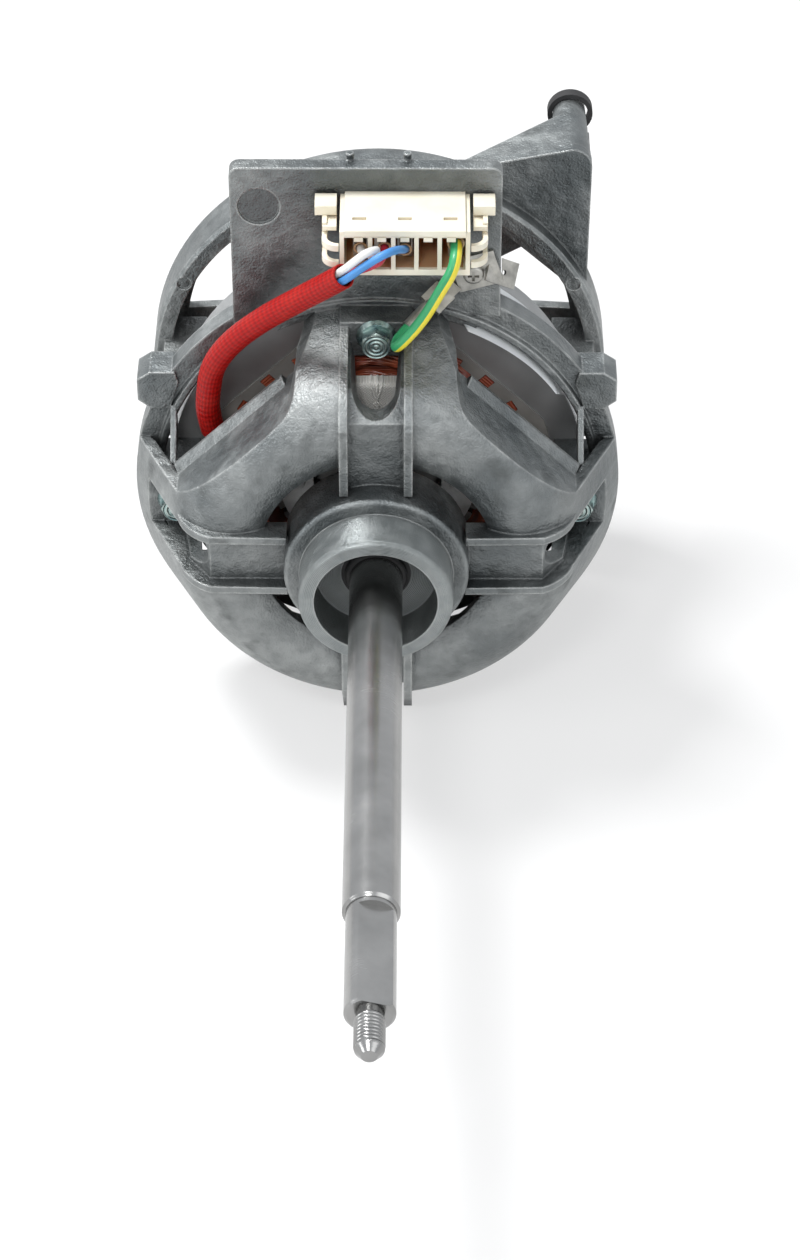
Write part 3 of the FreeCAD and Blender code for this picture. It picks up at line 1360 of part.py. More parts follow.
def build():
    front_bearing_y = CUP_DEPTH + CUP_FLOOR_T
    front_inner, front_outer = bearing_rings(front_bearing_y)
    rear_inner, rear_outer = bearing_rings(REAR_BEARING_Y)
    latch = connector_latch()
    return {
        "front_end_shield": front_end_shield(),
        "rear_end_shield": rear_end_shield(),
        "arm_ring": arm_ring(),
        "stator_stack": stator_stack(),
        "stator_end_plates": end_plates(),
        "stator_winding": winding_mass(),
        "front_end_turns": end_turns(STACK_FRONT_Y, -1, "front_end_turns"),
        "rear_end_turns": end_turns(STACK_FRONT_Y + STACK_LENGTH, 1, "rear_end_turns"),
        "thermal_cutout": thermal_cutout(),
        "stator_label": stator_label(),
        "through_bolts": Part.makeCompound(around(through_bolt(), SPOKES)),
        "shaft": shaft(),
        "rotor_core": rotor_core(),
        "rotor_cage": rotor_cage(),
        "front_bearing_inner_ring": front_inner,
        "front_bearing_outer_ring": front_outer,
        "front_bearing_seals": bearing_seals(front_bearing_y),
        "rear_bearing_inner_ring": rear_inner,
        "rear_bearing_outer_ring": rear_outer,
        "rear_bearing_seals": bearing_seals(REAR_BEARING_Y),
        "front_shaft_seal": front_shaft_seal(),
        "wave_spring": wave_spring(),
        "rear_retaining_ring": retainer(BEARING_BORE_R, REAR_BEARING_Y + BEARING_WIDTH),
        "pulley_retaining_ring": retainer(PULLEY_SEAT_R, PULLEY_Y + PULLEY_LENGTH),
        "belt_pulley": belt_pulley(),
        "connector_housing": connector_housing(),
        "connector_latch_left": latch,
        "connector_latch_right": mirrored(latch, CONNECTOR_X),
        "connector_terminals": connector_terminals(),
        "white_lead": lead("white_lead", WHITE_ROUTE, WIRE_R, LEAD_SIDES),
        "red_lead": lead("red_lead", RED_ROUTE, WIRE_R, LEAD_SIDES),
        "blue_lead": lead("blue_lead", BLUE_ROUTE, WIRE_R, LEAD_SIDES),
        "lead_sleeve": lead_sleeve(),
        "earth_lead": lead("earth_lead", EARTH_ROUTE, EARTH_WIRE_R, LEAD_SIDES),
        "earth_bracket": earth_bracket(),
        "earth_receptacle": earth_receptacle(),
        "earth_screw": earth_screw(),
    }


os.makedirs("parts", exist_ok=True)
for node, shape in build().items():
    shape.exportStep("parts/" + node + ".step")
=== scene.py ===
import json
import math
import random

import bmesh
import bpy
from mathutils import Matrix, Vector


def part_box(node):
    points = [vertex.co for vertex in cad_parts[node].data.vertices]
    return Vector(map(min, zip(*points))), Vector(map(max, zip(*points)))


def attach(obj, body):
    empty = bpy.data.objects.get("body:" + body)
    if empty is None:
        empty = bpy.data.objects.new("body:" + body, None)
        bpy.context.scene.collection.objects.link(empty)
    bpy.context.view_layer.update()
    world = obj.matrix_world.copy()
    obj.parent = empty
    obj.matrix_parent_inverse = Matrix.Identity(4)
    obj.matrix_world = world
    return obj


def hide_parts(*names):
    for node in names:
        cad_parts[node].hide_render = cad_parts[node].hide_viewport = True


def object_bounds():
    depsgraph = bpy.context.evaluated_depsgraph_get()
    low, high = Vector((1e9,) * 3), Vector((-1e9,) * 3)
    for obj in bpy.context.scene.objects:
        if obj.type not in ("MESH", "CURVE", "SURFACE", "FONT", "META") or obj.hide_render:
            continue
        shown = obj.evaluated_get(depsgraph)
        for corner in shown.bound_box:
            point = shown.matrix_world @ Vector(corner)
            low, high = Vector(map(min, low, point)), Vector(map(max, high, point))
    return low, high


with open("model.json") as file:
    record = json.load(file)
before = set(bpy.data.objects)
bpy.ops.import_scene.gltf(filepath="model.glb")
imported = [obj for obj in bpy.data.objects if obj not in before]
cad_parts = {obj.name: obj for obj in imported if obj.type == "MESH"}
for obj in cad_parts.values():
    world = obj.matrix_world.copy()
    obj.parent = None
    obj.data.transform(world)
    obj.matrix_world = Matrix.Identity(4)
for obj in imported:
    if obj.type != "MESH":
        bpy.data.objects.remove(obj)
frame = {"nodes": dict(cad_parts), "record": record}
cad_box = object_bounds()
scene = bpy.context.scene

FULL_TURN = 2 * math.pi

# Camera, at the photograph's angle
ELEVATION = math.radians(40.4)
AZIMUTH = math.radians(0.23)
DISTANCE = 1.048
TARGET = Vector((0.0073, -0.0122, 0.0))
LENS_MM = 101.1
SENSOR_MM = 36.0

# Floor and world; each lamp's name, place, width in metres and power in watts
FLOOR_Z = cad_box[0][2] - 0.0001
FLOOR_REACH = 6.0
FLOOR_GLOW = 0.55
WORLD_LIGHT = 0.42
LAMPS = (
    ("key_lamp", (-0.55, 0.35, 1.3), 0.42, 20),
    ("front_lamp", (-0.25, -1.0, 1.15), 0.30, 6),
    ("fill_lamp", (0.9, -1.1, 0.8), 0.9, 4),
    ("side_lamp", (-1.2, -0.5, 0.5), 0.5, 5),
)

# Places with a finish of their own: turned spigot, bare pad on the plate, bolt heads; and the wire chambers,
# where painted shade goes
SPIGOT_BACK_Y = 0.0142
SPIGOT_R = 0.0236
PAD_X = -0.0345
PAD_Z = 0.1014
PAD_R = 0.0062
PAD_Y = (0.0598, 0.0609)
BOLT_LINE = 0.062
BOLT_FACE_Y = 0.0452
CHAMBERS_X = (-0.0085, 0.0255)
CHAMBERS_Y = (0.0412, 0.0592)
CHAMBERS_Z = (0.0925, 0.1042)

# Leads: the control points of each smooth line, from the fixed end
SLEEVE_ROUTE = [
    (-0.0504, 0.0575, 0.0216),
    (-0.0518, 0.0560, 0.0295),
    (-0.0512, 0.0548, 0.0378),
    (-0.0496, 0.0538, 0.0484),
    (-0.0434, 0.0514, 0.0590),
    (-0.0346, 0.0476, 0.0692),
    (-0.0246, 0.0430, 0.0790),
    (-0.0152, 0.0379, 0.0882),
    (-0.0092, 0.0336, 0.0951),
]
WHITE_ROUTE = [
    (-0.0044, 0.0436, 0.0983),
    (-0.0040, 0.0388, 0.0992),
    (-0.0006, 0.0366, 0.1009),
    (0.0008, 0.0342, 0.1040),
    (-0.0024, 0.0312, 0.1049),
    (-0.0056, 0.0314, 0.1020),
    (-0.0092, 0.0331, 0.0973),
    (-0.0117, 0.0350, 0.0945),
]
RED_ROUTE = [
    (0.0026, 0.0436, 0.0984),
    (0.0024, 0.0358, 0.0993),
    (-0.0014, 0.0336, 0.0984),
    (-0.0069, 0.0338, 0.0962),
    (-0.0096, 0.0357, 0.0931),
]
BLUE_ROUTE = [
    (0.0086, 0.0436, 0.0978),
    (0.0084, 0.0388, 0.1008),
    (0.0062, 0.0342, 0.1039),
    (0.0024, 0.0309, 0.1044),
    (-0.0030, 0.0298, 0.1012),
    (-0.0080, 0.0314, 0.0958),
    (-0.0107, 0.0334, 0.0926),
]
EARTH_ROUTE = [
    (0.0233, 0.0436, 0.1000),
    (0.0234, 0.0370, 0.1004),
    (0.0224, 0.0334, 0.0970),
    (0.0192, 0.0336, 0.0906),
    (0.0149, 0.0356, 0.0802),
    (0.0109, 0.0364, 0.0734),
    (0.0070, 0.0370, 0.0682),
    (0.0057, 0.0400, 0.0653),
    (0.0068, 0.0444, 0.0658),
    (0.0127, 0.0501, 0.0691),
]
WIRE_R = 0.0012
EARTH_R = 0.00175
LEAD_STEPS = 10
LEAD_SIDES = 20
SLEEVE_R = 0.00375
SLEEVE_WALL = 0.0007
SLEEVE_STEPS = 40
SLEEVE_OPEN_STEPS = 36
SLEEVE_SIDES = 96
BRAID_DEPTH = 0.00010
BRAID_PITCH = 0.0040
BRAID_CARRIERS = 11

# Collars round the wires at the chambers' mouths
COLLAR_FORWARD = 0.0003
COLLAR_CLEARANCE = 0.00052
COLLAR_THICK_R = 0.00036

# End turns: the wound bundle on each face of the stack
STACK_FRONT_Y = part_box("stator_stack")[0][1]
STACK_BACK_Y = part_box("stator_stack")[1][1]
BUNDLE_FLAT = 0.0453
BUNDLE_CORNER_R = 0.031
BUNDLE_PITCH = 0.0055
BUNDLE_LOOPS = 5
BUNDLE_FIRST = 0.0033
BUNDLE_STEPS = 9
STRANDS = 9
STRAND_R = 0.00062
STRAND_RING_R = 0.00152
STRAND_TURN = 0.075
STRAND_SIDES = 6
CORE_SHARE = 0.72

# Thread on the stud at the shaft's tip
SHAFT_TIP_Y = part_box("shaft")[0][1]
THREAD_START_Y = SHAFT_TIP_Y + 0.0024
THREAD_END_Y = SHAFT_TIP_Y + 0.0128
THREAD_PITCH = 0.00125
THREAD_ROOT_R = 0.00401
THREAD_CREST_R = 0.00428
THREAD_FOOT_R = THREAD_ROOT_R - 0.0002
THREAD_FOOT_SHARE = 0.42
THREAD_CREST_SHARE = 0.06

# Label round the stack, in degrees from the top; its front edge lifts and reaches into the window
LABEL_R = 0.06405
LABEL_THICK = 0.00016
LABEL_BACK_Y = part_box("stator_label")[1][1]
LABEL_SEAT_Y = STACK_FRONT_Y + 0.0002
LABEL_ENDS = (13.0, 73.0)
LABEL_LIFTED = (22.0, 64.0)
LABEL_RISES_OVER = (3.0, 7.0)
LABEL_REACH = 0.0098
LABEL_LIFT = 0.0009
LABEL_WAVE = 0.0003

# Lacing of the cut-out's sleeve
YARN_R = 0.00038
KNOT_R = 0.00036
YARN_STEPS = 8
YARN_SIDES = 8
YARN_PROUD = 0.00035


class Shade:
    """A shader socket that takes part in Python arithmetic."""

    def __init__(self, nodes, socket):
        self.nodes = nodes
        self.socket = socket

    def maths(self, operation, *values):
        return self.nodes.node("ShaderNodeMath", {"operation": operation}, dict(enumerate(values)))

    def __add__(self, other):
        return self.maths("ADD", self, other)

    def __radd__(self, other):
        return self.maths("ADD", other, self)

    def __sub__(self, other):
        return self.maths("SUBTRACT", self, other)

    def __rsub__(self, other):
        return self.maths("SUBTRACT", other, self)

    def __mul__(self, other):
        return self.maths("MULTIPLY", self, other)

    def __rmul__(self, other):
        return self.maths("MULTIPLY", other, self)

    def __truediv__(self, other):
        return self.maths("DIVIDE", self, other)

    def __pow__(self, other):
        return self.maths("POWER", self, other)

    def __lt__(self, other):
        return self.maths("LESS_THAN", self, other)

    def __gt__(self, other):
        return self.maths("GREATER_THAN", self, other)

    def __abs__(self):
        return self.maths("ABSOLUTE", self)


class Nodes:
    """A node tree whose nodes are all made by one method."""

    def __init__(self, tree):
        self.tree = tree

    def node(self, kind, settings=None, inputs=None, output=0):
        made = self.tree.nodes.new(kind)
        for key, value in (settings or {}).items():
            setattr(made, key, value)
        for key, value in (inputs or {}).items():
            if isinstance(value, Shade):
                self.tree.links.new(value.socket, made.inputs[key])
            else:
                made.inputs[key].default_value = value
        return Shade(self, made.outputs[output])

    def looked_at(self):
        """One for what the camera, a reflection or a see-through ray meets, else nought."""
        rays = ("Is Camera Ray", "Is Glossy Ray", "Is Transmission Ray")
        camera, glossy, through = [self.node("ShaderNodeLightPath", output=ray) for ray in rays]
        either = camera.maths("MAXIMUM", camera, glossy)
        return either.maths("MAXIMUM", either, through)


class Finish(Nodes):
    """One material, with its constants set on the shader's own sockets."""

    def __init__(self, name, **constants):
        self.material = bpy.data.materials.new(name)
        self.material.use_nodes = True
        super().__init__(self.material.node_tree)
        self.shader = self.tree.nodes["Principled BSDF"]
        for key, value in constants.items():
            self.shader.inputs[key.replace("_", " ")].default_value = value

    def feed(self, key, value):
        self.tree.links.new(value.socket, self.shader.inputs[key])

    def place(self):
        """Place in the object's own frame, as three numbers."""
        where = self.node("ShaderNodeTexCoord", output="Object")
        return [self.node("ShaderNodeSeparateXYZ", inputs={0: where}, output=i) for i in range(3)]

    def lie(self):
        """Length along and share of the way round a tube."""
        where = self.node("ShaderNodeTexCoord", output="UV")
        return [self.node("ShaderNodeSeparateXYZ", inputs={0: where}, output=i) for i in range(2)]

    def noise(self, scale, detail=3.0, stretch=(1, 1, 1)):
        where = self.node("ShaderNodeTexCoord", output="Object")
        moved = self.node("ShaderNodeVectorMath", {"operation": "MULTIPLY"}, {0: where, 1: stretch})
        return self.node("ShaderNodeTexNoise", inputs={"Vector": moved, "Scale": scale, "Detail": detail})

    def mixed(self, share, one, other):
        return self.node("ShaderNodeMix", {"data_type": "RGBA"}, {0: share, 6: one, 7: other}, 2)

    def bump(self, height, depth, strength, soft_edge=None):
        inputs = {"Strength": strength, "Distance": depth, "Height": height}
        if soft_edge:
            inputs["Normal"] = self.node("ShaderNodeBevel", {"samples": 4}, {"Radius": soft_edge})
        self.feed("Normal", self.node("ShaderNodeBump", inputs=inputs))

    def corner_shade(self, distance):
        """Nought in the open, towards one in corners and hollows: the share of painted shade."""
        return 1 - self.node("ShaderNodeAmbientOcclusion", {"samples": 6}, {"Distance": distance}, 1)

    def edge_highlight(self, radius):
        """Towards one along edges, nought on open faces: the share of a painted highlight."""
        soft = self.node("ShaderNodeBevel", {"samples": 4}, {"Radius": radius})
        plain = self.node("ShaderNodeNewGeometry", output="Normal")
        same = self.node("ShaderNodeVectorMath", {"operation": "DOT_PRODUCT"}, {0: soft, 1: plain}, "Value")
        return self.sharper(1 - same, 0.01, 0.16)

    def sharper(self, value, low, high):
        """Spreads low to high over nought to one."""
        return self.node("ShaderNodeMapRange", inputs={"Value": value, "From Min": low, "From Max": high})


def colour(red, green, blue):
    return (red, green, blue, 1.0)


def dimmed(base, share):
    return colour(*[channel * share for channel in base])


def distance(one, other):
    """Distance from the axis or line that the two values are measured from."""
    return (one * one + other * other) ** 0.5


def between(value, limits):
    """One between the two limits, else nought."""
    return (value > limits[0]) * (value < limits[1])


def ripple(value, pitch=1.0):
    """Swings between minus one and one, once in every pitch."""
    phase = value * (FULL_TURN / pitch)
    return phase.maths("SINE", phase)


def cast_skin(it, cloud, speckle):
    """Mottled grey of the casting, with a darker bare pad on the connector plate."""
    x, y, z = it.place()
    flow = it.sharper(it.noise(14.0, 4.0, (1, 0.4, 1)), 0.42, 0.60)
    stains = it.sharper(it.noise(95.0, 8.0), 0.57, 0.70)
    pad = (distance(x - PAD_X, z - PAD_Z) < PAD_R) * between(y, PAD_Y)
    skin = it.mixed(cloud, colour(0.140, 0.155, 0.159), colour(0.310, 0.326, 0.325))
    skin = it.mixed(flow * 0.40, skin, colour(0.41, 0.42, 0.41))
    skin = it.mixed((1 - speckle) * 0.42, skin, colour(0.105, 0.115, 0.117))
    skin = it.mixed(stains * 0.62, skin, colour(0.09, 0.098, 0.097))
    return it.mixed(pad * 0.6, skin, colour(0.09, 0.095, 0.097))


def die_casting():
    """Cast aluminium: mottled skin, painted shade in its hollows, painted highlights along its edges and a
    turned spigot.
    """
    it = Finish("die_cast_aluminium", Metallic=0.88)
    x, y, z = it.place()
    radius = distance(x, z)
    turned = (y < SPIGOT_BACK_Y) * (radius < SPIGOT_R)
    cloud = it.sharper(it.noise(42.0, 7.0), 0.38, 0.63)
    speckle = it.sharper(it.noise(230.0, 6.0), 0.36, 0.66)
    # Painted shade: the casting darkens in corners and hollows, where shade falls.
    painted_shade = it.sharper(it.corner_shade(0.018), 0.10, 0.66)
    # Painted highlight: the casting lightens along its edges, less where the painted shade lies.
    edge = it.edge_highlight(0.0011) * (1 - painted_shade * 0.8)
    skin = cast_skin(it, cloud, speckle)
    # Painted highlight along the edges.
    skin = it.mixed(edge * (0.35 + 0.4 * speckle), skin, colour(0.70, 0.715, 0.70))
    # Painted shade: near black in the hollows.
    skin = it.mixed(painted_shade * 0.68, skin, colour(0.055, 0.06, 0.062))
    turned_skin = it.mixed(speckle * 0.5, colour(0.235, 0.255, 0.255), colour(0.37, 0.39, 0.39))
    # The turned spigot gets the same painted shade in its hollows and painted highlight on its edges.
    turned_skin = it.mixed(painted_shade * 0.6, turned_skin, colour(0.10, 0.105, 0.105))
    turned_skin = it.mixed(edge * 0.5, turned_skin, colour(0.70, 0.71, 0.70))
    it.feed("Base Color", it.mixed(turned, skin, turned_skin))
    cast_rough = 0.36 + 0.16 * cloud + 0.12 * speckle
    turned_rough = 0.30 + 0.12 * speckle
    it.feed("Roughness", cast_rough * (1 - turned) + turned * turned_rough)
    as_cast = 1 - 0.7 * turned
    rings = ripple(radius + y, 0.0005)
    height = it.noise(1500.0, 2.0) * as_cast + cloud * 0.6 + speckle * as_cast + turned * rings * 0.2
    it.bump(height, 0.00032, 0.8, soft_edge=0.0008)
    return it.material


def laminated_steel():
    """Stacked sheets, seen as fine lines along the shaft axis."""
    it = Finish("stator_laminations", Metallic=0.8)
    layers = ripple(it.place()[1], 0.0006)
    cloud = it.noise(90.0, 5.0)
    sheet = it.mixed(cloud, colour(0.30, 0.31, 0.315), colour(0.47, 0.475, 0.475))
    it.feed("Base Color", it.mixed(it.sharper(layers, 0.3, 1.0) * 0.4, sheet, colour(0.2, 0.2, 0.2)))
    it.feed("Roughness", 0.42 + 0.2 * cloud)
    it.bump(layers + cloud * 0.4, 0.00012, 0.8)
    return it.material


def ground_steel(name, base, rough):
    """Steel ground or turned about the shaft axis."""
    it = Finish(name, Metallic=1.0)
    lines = it.noise(1.0, 3.0, (40, 5200, 40))
    cloud = it.sharper(it.noise(70.0, 4.0), 0.35, 0.7)
    dark = colour(base * 0.78, base * 0.78, base * 0.77)
    it.feed("Base Color", it.mixed(cloud, dark, colour(base, base, base * 0.985)))
    it.feed("Roughness", rough + 0.10 * lines + 0.07 * cloud)
    it.bump(lines, 0.00005, 0.5)
    return it.material


def plain_metal(name, one, other, rough, metallic=1.0, scale=150.0):
    """Metal that clouds between two greys."""
    it = Finish(name, Metallic=metallic)
    cloud = it.sharper(it.noise(scale, 5.0), 0.35, 0.68)
    it.feed("Base Color", it.mixed(cloud, colour(*one), colour(*other)))
    it.feed("Roughness", rough + 0.14 * cloud)
    it.bump(it.noise(scale * 12, 3.0) + cloud * 0.3, 0.0001, 0.35)
    return it.material


def plastic(name, base, rough, scale, shade):
    """Moulded plastic, rubber or fibre with a faint cloud."""
    it = Finish(name)
    cloud = it.noise(scale, 4.0)
    fine = it.noise(scale * 9, 2.0)
    it.feed("Base Color", it.mixed(it.sharper(cloud, 0.3, 0.7), dimmed(base, shade), colour(*base)))
    it.feed("Roughness", rough + 0.12 * cloud)
    it.bump(fine * 0.5 + cloud * 0.5, 0.00012, 0.4)
    return it.material


def woven(name, base, thread_pitch):
    """Cloth of crossed threads."""
    it = Finish(name, Sheen_Weight=0.3)
    x, _, z = it.place()
    weave = it.sharper(ripple(x, thread_pitch) * ripple(z, thread_pitch), -1.0, 1.0)
    it.feed("Base Color", it.mixed(weave * 0.7 + 0.3 * it.noise(300.0), dimmed(base, 0.72), colour(*base)))
    it.feed("Roughness", 0.78 + 0.1 * weave)
    it.bump(weave, 0.00025, 0.8)
    return it.material


def varnished_wire(name, on_strands):
    """Enamelled wire under dark red varnish, its wires along a strand or round the coils."""
    it = Finish(name, Coat_Weight=0.6, Coat_Roughness=0.22)
    if on_strands:
        along, around = it.lie()
        wires = ripple(around * 3 + along * 160)
    else:
        x, y, z = it.place()
        wires = ripple(distance(x, z) - y, 0.0009)
    drops = it.sharper(it.noise(130.0, 5.0), 0.42, 0.66)
    deep = it.mixed(drops, colour(0.21, 0.035, 0.018), colour(0.40, 0.085, 0.035))
    it.feed("Base Color", it.mixed(it.sharper(wires, 0.2, 1.0) * 0.35, deep, colour(0.52, 0.17, 0.07)))
    it.feed("Roughness", 0.3 + 0.25 * drops)
    it.bump(wires * 0.7 + drops, 0.0002, 0.7)
    return it.material


def braided():
    """Red varnished glass braid: crossed yarns with pale wear."""
    it = Finish("red_braid", Specular_IOR_Level=0.2)
    along, around = it.lie()
    one = ripple(around * BRAID_CARRIERS + along / BRAID_PITCH)
    other = ripple(around * BRAID_CARRIERS - along / BRAID_PITCH)
    yarn = it.sharper(one * other, -1.0, 1.0)
    fine = ripple(around * 140 + along * 900)
    wear = it.sharper(it.noise(210.0, 6.0), 0.45, 0.7)
    red = it.mixed(yarn, colour(0.22, 0.002, 0.002), colour(0.44, 0.007, 0.005))
    it.feed("Base Color", it.mixed(wear * 0.10, red, colour(0.66, 0.09, 0.06)))
    it.feed("Roughness", 0.38 + 0.2 * wear)
    it.bump(yarn + fine * 0.15, 0.00012, 0.6)
    return it.material


def insulation(name, base, stripe=None):
    """Wire insulation, with a lengthwise stripe if a colour is given for it."""
    it = Finish(name, Coat_Weight=0.15)
    around = it.lie()[1]
    cloud = it.noise(140.0, 4.0)
    skin = it.mixed(it.sharper(cloud, 0.3, 0.7), dimmed(base, 0.82), colour(*base))
    if stripe:
        skin = it.mixed(between(around, (0.38, 0.76)), skin, colour(*stripe))
    it.feed("Base Color", skin)
    it.feed("Roughness", 0.36 + 0.16 * cloud)
    it.bump(cloud + it.noise(2200.0, 1.0) * 0.3, 0.00012, 0.4)
    return it.material


def zinc_bolt():
    """Blue-green zinc with turning rings on the bolt's face."""
    it = Finish("zinc_bolt", Metallic=0.9)
    x, y, z = it.place()
    from_upper = distance(x, abs(z) - BOLT_LINE)
    from_side = distance(z, abs(x) - BOLT_LINE)
    nearest = from_upper.maths("MINIMUM", from_upper, from_side)
    rings = ripple(nearest, 0.0013) * (y < BOLT_FACE_Y)
    cloud = it.sharper(it.noise(320.0, 5.0), 0.35, 0.68)
    skin = it.mixed(cloud, colour(0.17, 0.26, 0.27), colour(0.42, 0.53, 0.50))
    it.feed("Base Color", it.mixed(it.sharper(rings, 0.0, 1.0) * 0.5, skin, colour(0.62, 0.66, 0.62)))
    it.feed("Roughness", 0.24 + 0.16 * cloud)
    it.bump(rings * 0.8 + cloud * 0.2, 0.0003, 0.7, soft_edge=0.0003)
    return it.material


def cream_nylon():
    """Cream housing plastic, with painted brown shade inside its chambers and in its hollows."""
    it = Finish("cream_nylon", Subsurface_Weight=0.05)
    x, y, z = it.place()
    cloud = it.noise(110.0, 4.0)
    skin = it.mixed(it.sharper(cloud, 0.3, 0.7), colour(0.76, 0.70, 0.56), colour(0.84, 0.79, 0.67))
    # Painted shade: the chambers' inner walls are brown, as cream nylon in shade.
    chamber_shade = between(x, CHAMBERS_X) * between(y, CHAMBERS_Y) * between(z, CHAMBERS_Z)
    skin = it.mixed(chamber_shade * 0.85, skin, colour(0.42, 0.20, 0.075))
    # Painted shade: brown in corners and hollows, where shade falls.
    skin = it.mixed(it.sharper(it.corner_shade(0.004), 0.3, 0.95) * 0.5, skin, colour(0.45, 0.33, 0.18))
    it.feed("Base Color", skin)
    it.feed("Roughness", 0.40 + 0.12 * cloud)
    it.bump(it.noise(1000.0, 2.0) * 0.5 + cloud * 0.5, 0.00012, 0.4, soft_edge=0.0002)
    return it.material


def floor_paint():
    """Matt white that glows a little where it is looked at, so that it stays pale."""
    it = Finish("floor_paint", Base_Color=colour(0.90, 0.90, 0.90), Roughness=0.9)
    glow = it.node("ShaderNodeEmission", inputs={"Color": colour(1.0, 1.0, 1.0)})
    paint = Shade(it, it.shader.outputs[0])
    floor = it.node("ShaderNodeMixShader", inputs={0: it.looked_at() * FLOOR_GLOW, 1: paint, 2: glow})
    it.tree.links.new(floor.socket, it.tree.nodes["Material Output"].inputs[0])
    return it.material


finishes = {
    "die_cast": die_casting(),
    "lamination_steel": laminated_steel(),
    "ground_steel": ground_steel("ground_steel", 0.36, 0.15),
    "rotor_steel": ground_steel("rotor_steel", 0.36, 0.32),
    "cage_aluminium": plain_metal("cage_aluminium", (0.55, 0.56, 0.56), (0.72, 0.72, 0.71), 0.42),
    "bearing_steel": ground_steel("bearing_steel", 0.70, 0.12),
    "zinc_bolt": zinc_bolt(),
    "tinned_steel": plain_metal(
        "tinned_steel", (0.30, 0.295, 0.275), (0.55, 0.54, 0.50), 0.30, metallic=0.9, scale=240.0
    ),
    "spring_steel": plain_metal("spring_steel", (0.17, 0.17, 0.18), (0.32, 0.32, 0.33), 0.34),
    "black_rubber": plastic("black_rubber", (0.028, 0.028, 0.029), 0.62, 320.0, 0.6),
    "varnished_winding": varnished_wire("varnished_coils", False),
    "slot_fibre": plastic("slot_fibre", (0.27, 0.265, 0.25), 0.55, 120.0, 0.75),
    "white_sleeve": woven("white_sleeve", (0.80, 0.79, 0.75), 0.0009),
    "pale_label": plastic("pale_label", (0.74, 0.77, 0.79), 0.5, 60.0, 0.9),
    "cream_nylon": cream_nylon(),
    "red_braid": braided(),
    "white_insulation": insulation("white_insulation", (0.80, 0.80, 0.78)),
    "red_insulation": insulation("red_insulation", (0.60, 0.03, 0.07)),
    "blue_insulation": insulation("blue_insulation", (0.06, 0.26, 0.62)),
    "green_yellow_insulation": insulation("green_yellow_insulation", (0.03, 0.34, 0.13), (0.78, 0.66, 0.04)),
}
strand_finish = varnished_wire("varnished_strands", True)


def dress_frame():
    """Every carried-over node takes the finish of its slot."""
    for part in frame["record"]["subparts"]:
        node = frame["nodes"][part["node"]]
        material = finishes[part["material_slot"]]
        if not node.material_slots:
            node.data.materials.append(material)
        for holder in node.material_slots:
            holder.material = material


def smooth_line(name, route, steps):
    """Points read from the smooth line that a route's control points draw."""
    data = bpy.data.curves.new(name, "CURVE")
    data.dimensions = "3D"
    data.resolution_u = steps
    spline = data.splines.new("NURBS")
    spline.points.add(len(route) - 1)
    for point, place in zip(spline.points, route):
        point.co = (*place, 1.0)
    spline.order_u = 3
    spline.use_endpoint_u = True
    holder = bpy.data.objects.new(name, data)
    scene.collection.objects.link(holder)
    mesh = bpy.data.meshes.new_from_object(holder)
    points = [vertex.co.copy() for vertex in mesh.vertices]
    bpy.data.objects.remove(holder)
    bpy.data.meshes.remove(mesh)
    return points


def carried(points):
    """Each point with its side and up directions, carried along without twist, and the way walked."""
    rows = []
    side = None
    walked = 0.0
    for i, here in enumerate(points):
        before = points[max(i - 1, 0)]
        after = points[min(i + 1, len(points) - 1)]
        along = (after - before).normalized()
        if side is None:
            side = along.cross(Vector((0.31, 0.22, 0.92))).normalized()
        side = (side - along * side.dot(along)).normalized()
        up = along.cross(side)
        if i:
            walked += (here - points[i - 1]).length
        rows.append((here, side, up, walked))
    return rows


def round_axis(radius, y, angle):
    """A point at a radius and an angle round the shaft axis, from the top."""
    return Vector((radius * math.sin(angle), y, radius * math.cos(angle)))


def skin_faces(rings, size, closed=False):
    """Quads that join rings of corners, each to the next, and the last to the first if closed."""
    faces = []
    for i in range(rings if closed else rings - 1):
        low = i * size
        high = (i + 1) % rings * size
        for k in range(size):
            n = (k + 1) % size
            faces.append((low + k, low + n, high + n, high + k))
    return faces


def end_faces(rings, size):
    """The two faces that close a row of rings."""
    last = (rings - 1) * size
    return [tuple(reversed(range(size))), tuple(last + k for k in range(size))]


def end_lies(size, first, last):
    """Their places on a tube that runs from the first distance to the last."""
    round_it = [k / size for k in range(size)]
    return [tuple((first, share) for share in reversed(round_it)), tuple((last, share) for share in round_it)]


def no_lies(faces):
    """Places for faces whose finish doesn't follow a tube."""
    return [((0, 0),) * len(face) for face in faces]


def tube(rows, radius, sides, offset=None, swell=None, caps=True):
    """Corners, faces and their places of one tube round the carried rows."""
    corners = []
    for here, side, up, walked in rows:
        a, b = offset(walked) if offset else (0.0, 0.0)
        for k in range(sides):
            angle = FULL_TURN * k / sides
            r = radius + (swell(walked, k / sides) if swell else 0.0)
            corners.append(here + side * (a + r * math.cos(angle)) + up * (b + r * math.sin(angle)))
    faces = skin_faces(len(rows), sides)
    lies = []
    walks = [row[3] for row in rows]
    for low, high in zip(walks, walks[1:]):
        for k in range(sides):
            near, far = k / sides, (k + 1) / sides
            lies.append(((low, near), (low, far), (high, far), (high, near)))
    if caps:
        faces += end_faces(len(rows), sides)
        lies += end_lies(sides, walks[0], walks[-1])
    return corners, faces, lies


